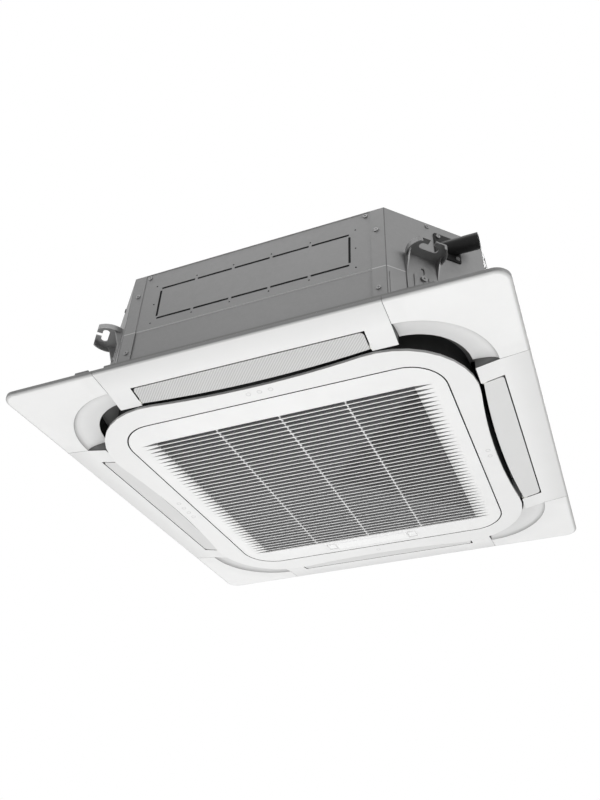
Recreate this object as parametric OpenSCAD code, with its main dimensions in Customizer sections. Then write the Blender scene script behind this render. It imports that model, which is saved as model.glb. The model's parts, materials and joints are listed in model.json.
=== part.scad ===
// Ceiling cassette air conditioner: a steel casing that hangs above the ceiling,
// with a decorative panel, four air flaps and an intake grille below it.
// The origin is the middle of the four hanging bolts, on the underside of the
// bracket shelves. +Z is up, -Y is the side with the duct knock-out.
// Inside the modules, heights count from the underside of the panel's outer edge.

/* [Casing] */
// Width of the casing across its flat sides
casing_w = 840; // [820:5:850]
// Width of one flat side between the cut corners
casing_flat_w = 536.6; // [530:1:545]
// Height of the casing
casing_h = 245.7; // [240:1:290]
// Thickness of the casing's steel sheet
sheet_t = 1; // [0.8:0.1:1.2]
// Thickness of the foam lining on the casing's walls
foam_t = 20; // [14:1:22]

/* [Panel] */
// Width of the decorative panel
panel_w = 950; // [930:5:990]
// Thickness of the panel at its outer edge
rim_t = 9; // [8:0.5:12]
// Radius of the panel's four corners, seen from below
panel_corner_r = 28; // [16:1:40]
// Fall of the panel's underside from its outer edge to the fold
rim_fall = 5; // [3:0.5:7]
// Depth of the intake surface below the panel's outer edge
intake_drop = 19; // [17:0.5:22]
// Height of the casing's underside above the panel's outer edge
panel_rise = 46; // [42:1:60]
// Width of the seams between covers, panel and casing parts
seam = 0.8; // [0.5:0.1:1.2]

/* [Outlets] */
// Length of one air flap
flap_len = 443; // [420:1:448]
// Thickness of an air flap
flap_t = 2.6; // [2:0.2:3]
// Radius of the corner outlets' outer edge
cove_slot_r = 105; // [100:1:108]

/* [Grille] */
// Width of the intake grille
grille_w = 645.4; // [640:0.2:650]
// Gap around the intake grille
grille_gap = 2.6; // [2.4:0.1:3.2]
// Distance between neighbouring slats
slat_pitch = 13.08; // [12:0.02:15]
// Number of grooves between the slats
groove_count = 41; // [31:2:41]
// Width of the field of open grooves
slat_field_w = 530; // [500:2:536]
// Length of the pointed end of a groove
groove_tip_len = 35; // [25:1:38]

/* [Fan and coil] */
// Diameter of the turbo fan
fan_d = 480; // [440:5:490]
// Height of the turbo fan
fan_h = 140; // [125:1:150]
// Number of fan blades
blade_count = 7; // [5:1:9]
// Diameter of the bell mouth's throat
throat_d = 344; // [320:2:350]
// Outer width of the heat exchanger's ring
coil_w = 650; // [640:2:660]
// Depth of the heat exchanger's fins
coil_t = 38; // [30:1:42]

/* [Pipes] */
// Outer diameter of the gas pipe
gas_pipe_d = 15.88; // [12.7:0.01:19.05]
// Outer diameter of the liquid pipe
liquid_pipe_d = 9.52; // [6.35:0.01:12.7]
// Outer diameter of the drain outlet
drain_pipe_d = 32; // [25:1:34]

/* [Hangers] */
// Distance between hanging bolts along X
hanger_pitch_x = 680; // [670:1:690]
// Distance between hanging bolts along Y
hanger_pitch_y = 780; // [770:1:785]
// Height of the bracket shelves above the panel's outer edge
hanger_h = 183; // [170:1:200]
// Width of the slot that takes a hanging bolt
hanger_slot_w = 13; // [11:0.5:14]
// Length of that slot
hanger_slot_len = 38; // [30:1:42]

/* [Hidden] */
$fn = 64;
fine_fn = 96;
small_fn = 24;
// Overrun that lets a cut pass its surface
over = 1;
root2 = sqrt(2);
// Clearance between parts that stand close, and between parts that slide
clear = 0.3;
fit = 0.05;

// Casing
casing_half = casing_w / 2;
flat_half = casing_flat_w / 2;
// Distance from the centre to a corner's cut face, and where its middle lies
cut_dist = (casing_half + flat_half) / root2;
cut_mid = cut_dist / root2;
cut_w = (casing_half - flat_half) * root2;
casing_z0 = panel_rise;
casing_z1 = panel_rise + casing_h;
wrap_w = 27;
step_h = 90;
step_in = 1.2;
top_flange_h = 18;
boss_ring_d = 300;
boss_w = 14;
boss_h = 2.5;
boss_rib_count = 8;
boss_rib_len = 120;
knock_w = 404;
knock_h = 80.5;
knock_z = 202.3;
knock_slot_w = 4.5;
knock_tab_w = 6;
knock_cells = 5;
dot_d = 3.2;
dot_off = 9.5;
grommet_d = 24;
grommet_z = 215;
lug_w = 44;
lug_out = 28;
lug_t = 1.6;
lug_bolt_out = 16;
foot_plate_w = 32;
foot_plate_h = 80;
foot_plate_u = 5;
foot_plate_r = 6;
foot_plate_t = 1.2;
slot_hole = [8, 16];
slot_hole_at = [0, 82];
emboss_d = 10;
emboss_at = [0, 40];

// Screws
screw_d = 4.2;
screw_len = 3.2;
screw_head_d = 9;
screw_head_h = 2.2;
screw_cross = 1.3;
screw_cross_w = 5;
side_screw_in = 16;
side_screw_z = [87, 235];
top_screw_x = 232;
top_screw_drop = 10;
corner_screw_y = -15;

// Hanger brackets
bracket_w = 66;
bracket_t = 3;
bracket_low = 66;
shelf_r = 38;
shelf_mid = 20;
shelf_end = 47;
shelf_rim_h = 9;
shelf_rim_t = 2.5;
shelf_gap_w = 42;
slot_entry_w = 11;
gusset_h = 46;
gusset_out = 14;
rib_w = 9;
rib_h = 2;
rib_len = 40;
rib_off = 15;
bolt_d = 6;
bolt_head_d = 12;
bolt_head_h = 4;
bracket_bolt_z = [20, 62];
bracket_bolt_off = 21;

// Foam lining, drain pan
liner_gap = 0.3;
corner_foam_t = 12;
foam_top_t = 14;
motor_hole_d = 210;
pan_h = 46;
pan_floor = 20;
pan_hole_d = 540;
trough_gap = 6;
trough_wall = 21;
duct_len = 446;
duct_out = 8;
plug_d = 28;
plug_h = 18;
plug_head_d = 36;
plug_head_h = 4;
plug_x = 279;
sump_in = 75;
sump_out = 18;
sump_y0 = -45;
sump_y1 = 70;
liner_edge = 2 * sheet_t + step_in + liner_gap;
foam_z0 = casing_z0 + pan_h + clear;
foam_z1 = casing_z1 - sheet_t - clear;

// Heat exchanger
coil_r = 110;
coil_half = coil_w / 2;
coil_in_half = coil_half - coil_t;
coil_cut = 205;
coil_z0 = casing_z0 + pan_floor + clear;
coil_z1 = foam_z1 - foam_top_t - clear;
coil_h = coil_z1 - coil_z0;
end_plate_t = 2;
end_plate_lip = 3;
tube_rows = 8;
tube_r = 4.8;
tube_shares = [0.25, 0.75];
row_pitch = coil_h / tube_rows;

// Refrigerant pipes
gas_reach = 52;
liquid_reach = 35;
gas_z = 150;
liquid_z = 205;
pipe_out = 62;
pipe_wall = 1;
gas_header_d = 19;
liquid_header_d = 14;
header_z0 = 96;
gas_header_z1 = 262;
liquid_header_z1 = 232;
feed_d = 6;
nut_len_share = 1.5;
nut_width_share = 1.75;
pipe_tip_len = 22;
pipe_tip_step = 0.2;
pipe_nut_gap = 1;
nut_end = pipe_out - pipe_tip_len - pipe_nut_gap;
gas_at = [coil_in_half + coil_t * tube_shares[0], coil_cut + gas_reach];
liquid_at = [coil_in_half + coil_t * tube_shares[1], coil_cut + liquid_reach];
gas_y = (gas_at[0] - gas_at[1]) / root2;
liquid_y = (liquid_at[0] - liquid_at[1]) / root2;
gas_in = cut_dist - (gas_at[0] + gas_at[1]) / root2;
liquid_in = cut_dist - (liquid_at[0] + liquid_at[1]) / root2;

// Fan, motor and bell mouth
fan_z0 = 100;
hub_t = 3;
hub_cup_d = 190;
hub_floor_z = 176;
hub_boss_d = 34;
hub_boss_h = 26;
shroud_in_d = throat_d + 22;
shroud_lip_h = 14;
shroud_h = 34;
shroud_t = 2.6;
blade_t = 3;
blade_in_share = 0.66;
blade_sweep = 38;
blade_steps = 8;
shaft_d = 12;
motor_d = 150;
motor_h = 74;
motor_flange_d = 186;
motor_flange_t = 4;
motor_rib_count = 24;
motor_rib_w = 3;
motor_rib_out = 3;
bearing_d = 32;
bearing_h = 6;
rubber_count = 4;
rubber_pcd = 166;
rubber_d = 20;
rubber_h = 12;
rubber_waist_d = 15;
nut_d = 24;
nut_h = 11;
washer_d = 30;
washer_t = 2;
shaft_below = 4;
bell_flange_d = 556;
bell_flange_t = 3;
bell_mouth_d = 452;
bell_t = 2.5;
bell_h = 48;
bell_steps = 8;
bell_seat_depth = 15;
bell_z0 = casing_z0 + bell_seat_depth - clear - bell_flange_t;

// Control box
box_len = 300;
box_w = 74;
box_h = 42;
box_y = -262;
box_t = 1.2;
box_lid_t = 1;
box_recess_h = 12;
board_room = 100;
board_in = 14;
board_w = 56;
board_t = 1.6;
board_stand = 6;
board_len = box_len - board_room;
board_x = board_in + (board_len - box_len) / 2;
cap_d = 16;
cap_h = 16;
relay = [22, 16, 14];
heat_sink = [50, 24, 18];
block_len = 60;
block_w = 26;
block_h = 18;
block_in = 42;
block_x = box_len / 2 - block_in;
block_ways = 5;
block_screw_d = 6;

// Drain pump, float switch, drain outlet
flange_y = 25.3;
pump_x = 305;
pump_y = cut_mid - flange_y / root2;
pump_d = 42;
pump_inlet_d = 26;
pump_low_h = 22;
pump_h = 30;
pump_motor_d = 36;
pump_motor_h = 40;
pump_z0 = casing_z0 + pan_floor + clear;
riser_d = 17;
riser_in = 8;
drain_z = 238.5;
drain_x1 = 424;
hose_wall = 3;
hose_x0 = 322;
hose_x1 = 347;
flange_w = 56;
flange_h = 61;
flange_t = 3;
flange_screw_y = 19.7;
flange_screw_z = 22;
drain_wall = 2.5;
drain_socket_len = 28;
drain_socket_step = 0.3;
float_x = 345;
float_y = 268;
float_stem_d = 6;
float_d = 18;
float_h = 14;
float_travel = 12;
float_stop_d = 11;
float_stop_h = 2;
float_arm_w = 12;
float_arm_t = 3;
float_base_z = 72;
float_ring_w = 3.5;
float_arm_z = pump_z0 + pump_low_h + pump_h + clear;

// Panel: radial places are distances from the centre line
panel_half = panel_w / 2;
intake_z = -intake_drop;
frame_plate_t = 5.4;
apron_z = intake_z + frame_plate_t;
fold_u = casing_half + 1.5;
apron_u = 378;
ring_u = 362;
ring_t = 4;
ring_r = 137;
rim_edge_h = 4.5;
rim_round = 6.5;
round_steps = 5;
seam_in = 1.5;
bridge_x = flap_len / 2 + 3;
bridge_top = 12;
duct_in = coil_half + trough_gap + trough_wall;
duct_u1 = casing_half - duct_out;
gasket_t = 2;
gasket_w = 7;
tape_t = 1.2;
tape_h = 8;
top_plate_t = 3;
top_z = panel_rise - gasket_t;
box_half = 432;
box_wall_t = 3;
box_top = 57;
box_cut_dist = 554;
box_notch_x = [-322, -287];
box_notch_h = 7;
floor_z = 20;
floor_t = 4;
post_r = 8;
corner_mid = 270;
seam_x = corner_mid + seam_in;
channel_wall = 3;
channel_r = cove_slot_r + channel_wall;
cove_fold_r = fold_u - corner_mid;
cove_z = 6.7;
cove_steps = 6;
cover_skin_t = 3;
clip_w = 16;
clip_t = 3;
clip_out = 47;
clip_off = 32;
clip_top = 30;

// Intake frame
frame_half = 380;
frame_r = 155;
frame_sag = 14;
frame_arc_steps = 10;
frame_side_steps = 12;
opening_half = grille_w / 2 + grille_gap;
opening_r = 75;
seam_wall_t = 3;
seam_wall_z = -4;
ring_mark_d = 10;
ring_mark_w = 1.4;
ring_mark_h = 0.3;
ring_mark_pitch = 22;
ring_mark_u = 347;
hinge_x = 180;
hinge_out = 6.4;
hinge_rise = 6;
hinge_pin_r = 1.6;
hinge_ring_r = 3.2;
hinge_ear_w = 5;
hinge_gap = 0.4;
hinge_arm_w = 12;
hinge_arm_t = 3.6;
hinge_arm_turn = 154;
hinge_arm_steps = 14;
hinge_arm_r = norm([seam_wall_t + hinge_out, seam_wall_z - intake_z - hinge_rise]) + 2 * hinge_gap;
catch_w = 12;
catch_z = -6;
catch_t = 3;
catch_lap = 1.5;

// Flaps
pivot_u = 384;
pivot_z = -6;
flap_out_gap = 2.5;
flap_in_end = 382.5;
flap_in_mid = 372;
flap_corner_r = 7;
flap_steps = 12;
flap_pin_r = 3;
flap_pin_len = 8;
flap_lug_t = 4;
flap_lug_r = 5.5;
flap_lug_len = 12;
flap_rib_h = 4;
flap_rib_t = 2;
flap_rib_u = 400;
bush_r = 5;
bush_flange_r = 7;
bush_flange_t = 1.4;
bush_len = 6.5;
flap_motor_d = 18;
flap_motor_len = 16;
flap_motor_off = [4, 5.5];
flap_motor_shaft_r = 1.5;

// Grille
grille_half = grille_w / 2;
grille_r = 73;
grille_t = 3;
grille_edge_h = 8;
grille_edge_t = 2.5;
slat_h = 11;
slat_low_w = 4.4;
slat_top_w = 2.2;
slat_lean = 3;
groove_w = slat_pitch - slat_low_w;
groove_depth = 7;
rib_bar_w = 3;
cross_rib_pitch = 132.6;
cross_rib_count = 3;
strip_w = 224;
strip_y0 = 281;
strip_d = 31;
strip_seam = 0.5;
strip_flange = 2;
strip_flange_t = 1.5;
latch_w = 19;
latch_d = 24;
latch_pin_r = 1.2;
latch_pin_len = 2.4;
latch_pivot_in = 2;
latch_pivot_rise = 4.2;
latch_edge_gap = 0.7;
latch_t = 2.5;
latch_arm_t = 3;
latch_nose_gap = 0.35;
latch_nose_h = 3;
latch_nose_out = 4.5;
latch_lug_t = 2;
latch_lug_r = 3;
button_d = 5;
button_x = 84;
button_y = 293.5;
button_flange_d = 7.5;
lens_d = 5;
lens_x = 58;
lens_proud = 0.2;

// Air filter
filter_w = 590;
filter_y0 = -288;
filter_y1 = 272;
filter_frame_w = 9;
filter_t = 4.5;
filter_gap = 0.3;
filter_net_t = 0.8;
filter_bars = 3;
filter_bar_w = 4;

// Lowers the panel's height scale to the hanging plane
module hung() {
  translate([0, 0, -hanger_h])
    children();
}

// Turns one drawn side, the front, to side k: 0 front, 1 right, 2 rear, 3 left
module to_side(k) {
  rotate(90 * k)
    children();
}

// Extrudes a profile of (distance outwards, height) along the front side
module front_bar(length) {
  mirror([0, 1, 0])
    rotate([90, 0, 90])
      linear_extrude(length, center = true)
        children();
}

// Moves what is drawn at the front right to another corner
module to_corner(sx, sy) {
  mirror([sx < 0 ? 1 : 0, 0, 0])
    mirror([0, sy > 0 ? 1 : 0, 0])
      children();
}

// Local frame of a cut corner: X outwards, Y along the face towards the side
module at_corner(sx, sy) {
  to_corner(sx, sy)
    translate([cut_mid, -cut_mid, 0])
      rotate(-45)
        children();
}

// Repeats a thing drawn at the front on all four sides
module on_sides() {
  for (k = [0:3])
    to_side(k)
      children();
}

module at_corners() {
  for (sx = [-1, 1])
    for (sy = [-1, 1])
      at_corner(sx, sy)
        children();
}

// Extrudes a drawing from height z
module layer(z, h) {
  translate([0, 0, z])
    linear_extrude(h)
      children();
}

// Upright cylinder that stands at height z
module post(z, h, r, fn = $fn) {
  translate([0, 0, z])
    cylinder(h, r = r, $fn = fn);
}

// Cylinder that lies along X
module rod(length, r, center = false) {
  rotate([0, 90, 0])
    cylinder(length, r = r, center = center);
}

module tube(length, r, wall) {
  difference() {
    cylinder(length, r = r);
    post(-over, length + 2 * over, r - wall);
  }
}

// Square with round corners made from true arcs
module round_square(half, r) {
  square([2 * half, 2 * (half - r)], center = true);
  square([2 * (half - r), 2 * half], center = true);
  for (sx = [-1, 1])
    for (sy = [-1, 1])
      translate([sx * (half - r), sy * (half - r)])
        circle(r, $fn = fine_fn);
}

module round_rect(w, h, r) {
  square([w - 2 * r, h], center = true);
  square([w, h - 2 * r], center = true);
  for (sx = [-1, 1])
    for (sy = [-1, 1])
      translate([sx * (w / 2 - r), sy * (h / 2 - r)])
        circle(r, $fn = small_fn);
}

// Square whose corners are cut at distance d from the centre
module octagon(h, d) {
  c = d * root2 - h;
  polygon([[h, -c], [h, c], [c, h], [-c, h], [-h, c], [-h, -c], [-c, -h], [c, -h]]);
}

// Slot with round ends, long along Y
module slot(w, length) {
  square([w, length - w], center = true);
  for (s = [-1, 1])
    translate([0, s * (length - w) / 2])
      circle(d = w);
}

// Outline of the casing, drawn in from its face by t
module casing_outline(t) {
  octagon(casing_half - t, cut_dist - t);
}

function arc(c, r, a0, a1, steps) =
  [for (i = [0:steps]) c + r * [cos(a0 + (a1 - a0) * i / steps), sin(a0 + (a1 - a0) * i / steps)]];

// Square with large round corners whose sides bow inwards by sag
function bowed_side_r(half, r, sag) =
  let (c = half - r, m = half - sag) (c * c + (m - c) * (m - c) - r * r) / (2 * sag);
function bowed_square(half, r, sag) =
  let (c = half - r, m = half - sag, side_r = bowed_side_r(half, r, sag), t = atan2(c, m - c + side_r))
  [for (k = [0:3])
    let (turn = [[cos(90 * k), -sin(90 * k)], [sin(90 * k), cos(90 * k)]])
    for (p = concat(
      arc([c, c], r, -t, 90 + t, frame_arc_steps),
      arc([0, m + side_r], side_r, -90 + t, -90 - t, frame_side_steps)))
      turn * p];

module bowed(half, r, sag) {
  polygon(bowed_square(half, r, sag));
}

// Rounded outer edge of the panel's side, from its underside to its outer face
function rim_edge(u) =
  [for (i = [0:round_steps])
    let (a = 90 * i / round_steps)
      [u - rim_round * (1 - sin(a)), rim_edge_h * (1 - cos(a))]];

// Height of the closed flaps' and the bridges' underside at distance u
function apron_at(u) = -rim_fall + (fold_u - u) * (apron_z + rim_fall) / (fold_u - apron_u);

module screw(d, len, head_d, head_h) {
  difference() {
    union() {
      post(-len, len + head_h / 2, d / 2, small_fn);
      cylinder(head_h, d = head_d, $fn = small_fn);
    }
    for (a = [0, 90])
      rotate(a)
        translate([0, 0, head_h])
          cube([screw_cross_w, screw_cross, head_h], center = true);
  }
}

// Casing

// Places a thing at each screw of the casing, with Z out of the sheet
module at_casing_screws() {
  on_sides()
    for (sx = [-1, 1])
      for (z = side_screw_z)
        translate([sx * (flat_half - side_screw_in), -casing_half, z])
          rotate([90, 0, 0])
            children();
  at_corners()
    translate([0, corner_screw_y, casing_z1 - top_screw_drop])
      rotate([0, 90, 0])
        children();
}

module at_top_screws() {
  on_sides()
    for (sx = [-1, 1])
      translate([sx * top_screw_x, -casing_half + sheet_t, casing_z1 - top_screw_drop])
        rotate([90, 0, 0])
          children();
}

module at_flange_screws() {
  at_corner(1, -1)
    for (s = [-1, 1])
      translate([flange_t, flange_y + s * flange_screw_y, drain_z - s * flange_screw_z])
        rotate([0, 90, 0])
          children();
}

module at_bracket_bolts() {
  at_corners()
    translate([bracket_t, bolt_along, bracket_low]) {
      for (s = [-1, 1])
        translate([0, s * bracket_bolt_off, bracket_bolt_z[0]])
          rotate([0, 90, 0])
            children();
      translate([0, 0, bracket_bolt_z[1]])
        rotate([0, 90, 0])
          children();
    }
}

module screw_hole(d) {
  cylinder(4 * screw_len, d = d + 2 * clear, center = true, $fn = small_fn);
}

// Holes for all the screws and bolts in the casing's sheets
module sheet_holes() {
  at_casing_screws()
    screw_hole(screw_d);
  at_top_screws()
    screw_hole(screw_d);
  at_flange_screws()
    screw_hole(screw_d);
  at_bracket_bolts()
    screw_hole(bolt_d);
}

module top_plate() {
  color("silver") hung() {
    translate([0, 0, casing_z1 - sheet_t])
      difference() {
        linear_extrude(sheet_t)
          casing_outline(0);
        for (k = [0:rubber_count - 1])
          rotate(360 * k / rubber_count)
            translate([rubber_pcd / 2, 0, -over])
              cylinder(sheet_t + 2 * over, d = screw_d + clear, $fn = small_fn);
      }
    difference() {
      layer(casing_z1 - sheet_t - top_flange_h, top_flange_h)
        difference() {
          casing_outline(2 * sheet_t);
          casing_outline(3 * sheet_t);
        }
      sheet_holes();
    }
    layer(casing_z1, boss_h)
      difference() {
        circle(d = boss_ring_d + 2 * boss_w, $fn = fine_fn);
        circle(d = boss_ring_d, $fn = fine_fn);
      }
    for (k = [0:boss_rib_count - 1])
      rotate(360 * (k + 1 / 2) / boss_rib_count)
        translate([boss_ring_d / 2 + boss_w / 2, -boss_w / 2, casing_z1])
          cube([boss_rib_len, boss_w, boss_h]);
  }
}

// Flat steel side: the upper part stands proud of the lower by a small step
module side_sheet(k) {
  upper_z = casing_z0 + step_h;
  low_u = casing_half - sheet_t - step_in;
  high_u = casing_half - sheet_t;
  z1 = casing_z1 - sheet_t;
  difference() {
    to_side(k)
      front_bar(2 * (flat_half - sheet_t - step_in))
        polygon([
          [low_u, casing_z0], [low_u, upper_z], [high_u, upper_z + step_in], [high_u, z1],
          [high_u - sheet_t, z1], [high_u - sheet_t, upper_z + step_in],
          [low_u - sheet_t, upper_z], [low_u - sheet_t, casing_z0]]);
    sheet_holes();
  }
}

// Slots round the duct knock-out, with a tab between neighbours, and pilot marks
module knock_out_cuts() {
  cell_w = knock_w / knock_cells;
  depth = sheet_t + 2 * over;
  translate([0, -casing_half + sheet_t / 2, 0]) {
    for (sz = [-1, 1])
      for (k = [0:knock_cells - 1])
        translate([(k - (knock_cells - 1) / 2) * cell_w, 0, knock_z + sz * knock_h / 2])
          cube([cell_w - knock_tab_w, depth, knock_slot_w], center = true);
    for (sx = [-1, 1]) {
      translate([sx * (knock_w - knock_slot_w) / 2, 0, knock_z])
        cube([knock_slot_w, depth, knock_h - 2 * knock_tab_w], center = true);
      for (sz = [-1, 0, 1])
        translate([sx * (knock_w / 2 + dot_off), 0, knock_z + sz * (knock_h / 2 + dot_off)])
          rotate([90, 0, 0])
            cylinder(depth, d = dot_d, center = true, $fn = small_fn);
    }
    for (sz = [-1, 1])
      for (k = [1:knock_cells - 1])
        translate([(k - knock_cells / 2) * cell_w, 0, knock_z + sz * (knock_h / 2 + dot_off)])
          rotate([90, 0, 0])
            cylinder(depth, d = dot_d, center = true, $fn = small_fn);
  }
}

module side_panel_front() {
  color("darkgray") hung()
    difference() {
      side_sheet(0);
      knock_out_cuts();
    }
}

module side_panel_rear() {
  color("darkgray") hung()
    side_sheet(2);
}

module side_panel_left() {
  color("darkgray") hung()
    side_sheet(3);
}

module side_panel_right() {
  color("darkgray") hung()
    side_sheet(1);
}

// Outline of a corner sheet from above: the cut face with a strip round each end
module corner_outline() {
  size = casing_half - flat_half + wrap_w;
  intersection() {
    difference() {
      casing_outline(0);
      casing_outline(sheet_t);
    }
    translate([flat_half - wrap_w, -casing_half])
      square([size, size]);
  }
}

module drain_hole(gap) {
  at_corner(1, -1)
    translate([0, flange_y, drain_z])
      rotate(45)
        rod(3 * drain_pipe_d, drain_pipe_d / 2 + gap, center = true);
}

module grommet_hole(length, r) {
  at_corner(-1, 1)
    translate([0, cut_w / 4, grommet_z])
      rod(length, r, center = true);
}

module pipe_holes(length) {
  at_corner(1, 1) {
    translate([0, gas_y, gas_z])
      rod(length, gas_pipe_d / 2 + over, center = true);
    translate([0, liquid_y, liquid_z])
      rod(length, liquid_pipe_d / 2 + over, center = true);
  }
}

// Corner sheet with the lug that takes a panel bolt
module corner_panel(sx, sy) {
  h = casing_z1 - sheet_t - casing_z0;
  difference() {
    to_corner(sx, sy)
      layer(casing_z0, h)
        corner_outline();
    sheet_holes();
  }
  at_corner(sx, sy) {
    difference() {
      translate([-sheet_t, -lug_w / 2, casing_z0])
        cube([lug_out + sheet_t, lug_w, lug_t]);
      translate([lug_bolt_out, 0, casing_z0 - over])
        cylinder(lug_t + 2 * over, d = bolt_d + 2 * clear, $fn = small_fn);
    }
    translate([
      0,
      -cut_w / 2 + foot_plate_u + foot_plate_w / 2,
      casing_z0 + foot_plate_h / 2 + lug_t])
      rotate([90, 0, 90])
        linear_extrude(foot_plate_t)
          round_rect(foot_plate_w, foot_plate_h, foot_plate_r);
  }
}

module corner_panel_front_left() {
  color("darkgray") hung()
    corner_panel(-1, -1);
}

module corner_panel_front_right() {
  color("darkgray") hung()
    difference() {
      corner_panel(1, -1);
      drain_hole(clear);
    }
}

module corner_panel_rear_left() {
  color("darkgray") hung()
    difference() {
      corner_panel(-1, 1);
      grommet_hole(4 * sheet_t, grommet_d / 2);
    }
}

module corner_panel_rear_right() {
  color("darkgray") hung()
    difference() {
      corner_panel(1, 1);
      pipe_holes(4 * sheet_t);
    }
}

// Screws of the casing's sheets and bolts of its hanger brackets
module casing_fasteners() {
  color("gray") hung() {
    at_casing_screws()
      screw(screw_d, screw_len, screw_head_d, screw_head_h);
    at_top_screws()
      screw(screw_d, screw_len - sheet_t, screw_head_d, screw_head_h);
    at_flange_screws()
      screw(screw_d, flange_t + screw_len, screw_head_d, screw_head_h);
    at_bracket_bolts()
      screw(bolt_d, bracket_t + screw_len, bolt_head_d, bolt_head_h);
  }
}

// Hanger brackets

bolt_out = (hanger_pitch_x + hanger_pitch_y) / 2 / root2 - cut_dist;
bolt_along = (hanger_pitch_x - hanger_pitch_y) / 2 / root2;

module bracket_outline() {
  intersection() {
    union() {
      translate([0, -bracket_w / 2])
        square([shelf_mid, bracket_w]);
      translate([shelf_mid, 0])
        circle(shelf_r, $fn = fine_fn);
    }
    translate([0, -shelf_r])
      square([shelf_end, 2 * shelf_r]);
  }
}

// Rim bent down round the shelf's edge, left open at the bolt's slot
module bracket_rim() {
  difference() {
    bracket_outline();
    translate([-over, 0])
      intersection() {
        translate([shelf_mid, 0])
          circle(shelf_r - shelf_rim_t, $fn = fine_fn);
        translate([0, -shelf_r])
          square([2 * shelf_end, 2 * shelf_r]);
      }
    translate([0, -bracket_w / 2 + shelf_rim_t])
      square([shelf_mid, bracket_w - 2 * shelf_rim_t]);
    translate([0, -shelf_gap_w / 2])
      square([2 * shelf_end, shelf_gap_w]);
  }
}

module hanger_bracket(sx, sy) {
  hung()
    difference() {
      at_corner(sx, sy)
        translate([0, bolt_along, 0]) {
          difference() {
            union() {
              layer(hanger_h, bracket_t)
                bracket_outline();
              layer(hanger_h - shelf_rim_h, shelf_rim_h + bracket_t)
                bracket_rim();
            }
            translate([bolt_out, 0, hanger_h - over])
              linear_extrude(bracket_t + 2 * over) {
                slot(hanger_slot_w, hanger_slot_len);
                translate([0, -slot_entry_w / 2])
                  square([2 * shelf_end, slot_entry_w]);
              }
          }
          difference() {
            translate([0, -bracket_w / 2, bracket_low])
              cube([bracket_t, bracket_w, hanger_h + bracket_t - bracket_low]);
            translate([-over, slot_hole_at[0], bracket_low + slot_hole_at[1]])
              rotate([90, 0, 90])
                linear_extrude(bracket_t + 2 * over)
                  slot(slot_hole[0], slot_hole[1]);
          }
          translate([bracket_t, emboss_at[0], bracket_low + emboss_at[1]])
            rotate([0, 90, 0])
              cylinder(rib_h, d = emboss_d, center = true);
          for (s = [-1, 1]) {
            translate([bracket_t, s * rib_off, hanger_h - gusset_h - rib_len / 2])
              rotate([90, 0, 90])
                linear_extrude(rib_h)
                  slot(rib_w, rib_len);
            translate([0, s * (bracket_w - bracket_t) / 2, hanger_h])
              rotate([90, 0, 0])
                linear_extrude(bracket_t, center = true)
                  polygon([
                    [0, 0], [shelf_mid, 0], [gusset_out, -shelf_rim_h],
                    [bracket_t, -gusset_h], [0, -gusset_h]]);
          }
        }
      at_bracket_bolts()
        screw_hole(bolt_d);
    }
}

module hanger_bracket_front_left() {
  color("dimgray")
    hanger_bracket(-1, -1);
}

module hanger_bracket_front_right() {
  color("dimgray")
    hanger_bracket(1, -1);
}

module hanger_bracket_rear_left() {
  color("dimgray")
    hanger_bracket(-1, 1);
}

module hanger_bracket_rear_right() {
  color("dimgray")
    hanger_bracket(1, 1);
}

// Lining, drain pan and heat exchanger

module foam_liner() {
  color([0.3, 0.31, 0.32]) hung()
    difference() {
      layer(foam_z0, foam_z1 - foam_z0)
        casing_outline(liner_edge);
      layer(foam_z0 - over, foam_z1 - foam_z0 + over - foam_top_t)
        octagon(casing_half - foam_t - liner_edge, cut_dist - corner_foam_t - liner_edge);
      post(foam_z0, foam_z1 - foam_z0 + over, motor_hole_d / 2);
      drain_hole(2 * clear);
      grommet_hole(4 * foam_t, grommet_d / 2 + over);
      translate([pump_x, -pump_y, foam_z0 - over])
        cylinder(foam_z1 - foam_z0 - foam_top_t + over, d = pump_d + 2 * trough_gap);
      pipe_holes(4 * foam_t);
    }
}

// Ring of the heat exchanger in plan, left open at the rear right corner
module coil_plan(out_half, in_half, open_at) {
  difference() {
    round_square(out_half, coil_r - coil_half + out_half);
    round_square(in_half, coil_r - coil_half + in_half);
    translate([open_at, open_at])
      square([out_half, out_half]);
  }
}

module drain_pan() {
  duct_mid = (duct_in + duct_u1) / 2;
  color("whitesmoke") hung()
    difference() {
      layer(casing_z0, pan_h)
        casing_outline(liner_edge);
      post(casing_z0 - over, pan_h + 2 * over, pan_hole_d / 2, fine_fn);
      post(casing_z0 - over, bell_seat_depth + over, bell_flange_d / 2 + clear, fine_fn);
      layer(casing_z0 + pan_floor, pan_h)
        coil_plan(coil_half + trough_gap, coil_in_half - trough_gap, 2 * coil_half);
      at_corner(1, -1)
        translate([-sump_in, sump_y0, casing_z0 + pan_floor])
          cube([sump_in - sump_out, sump_y1 - sump_y0, pan_h]);
      on_sides()
        translate([0, -duct_mid, casing_z0 + pan_h / 2])
          cube([duct_len, duct_u1 - duct_in, pan_h + 2 * over], center = true);
      translate([0, box_y, casing_z0])
        cube([box_len + 2 * clear, box_w + 2 * clear, 2 * box_recess_h], center = true);
      translate([plug_x, plug_x, casing_z0 - over])
        cylinder(pan_h, d = plug_d + 2 * fit);
    }
}

module drain_plug() {
  color("dimgray") hung()
    translate([plug_x, plug_x, casing_z0 - clear]) {
      cylinder(plug_h, d = plug_d);
      post(-plug_head_h, plug_head_h, plug_head_d / 2);
    }
}

// Turns the coil's end at the right side, where it faces +Y, to its rear end
module coil_ends() {
  children();
  mirror([1, -1, 0])
    children();
}

module coil_fins() {
  color("lightsteelblue") hung()
    layer(coil_z0, coil_h)
      coil_plan(coil_half, coil_in_half, coil_cut);
}

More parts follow.
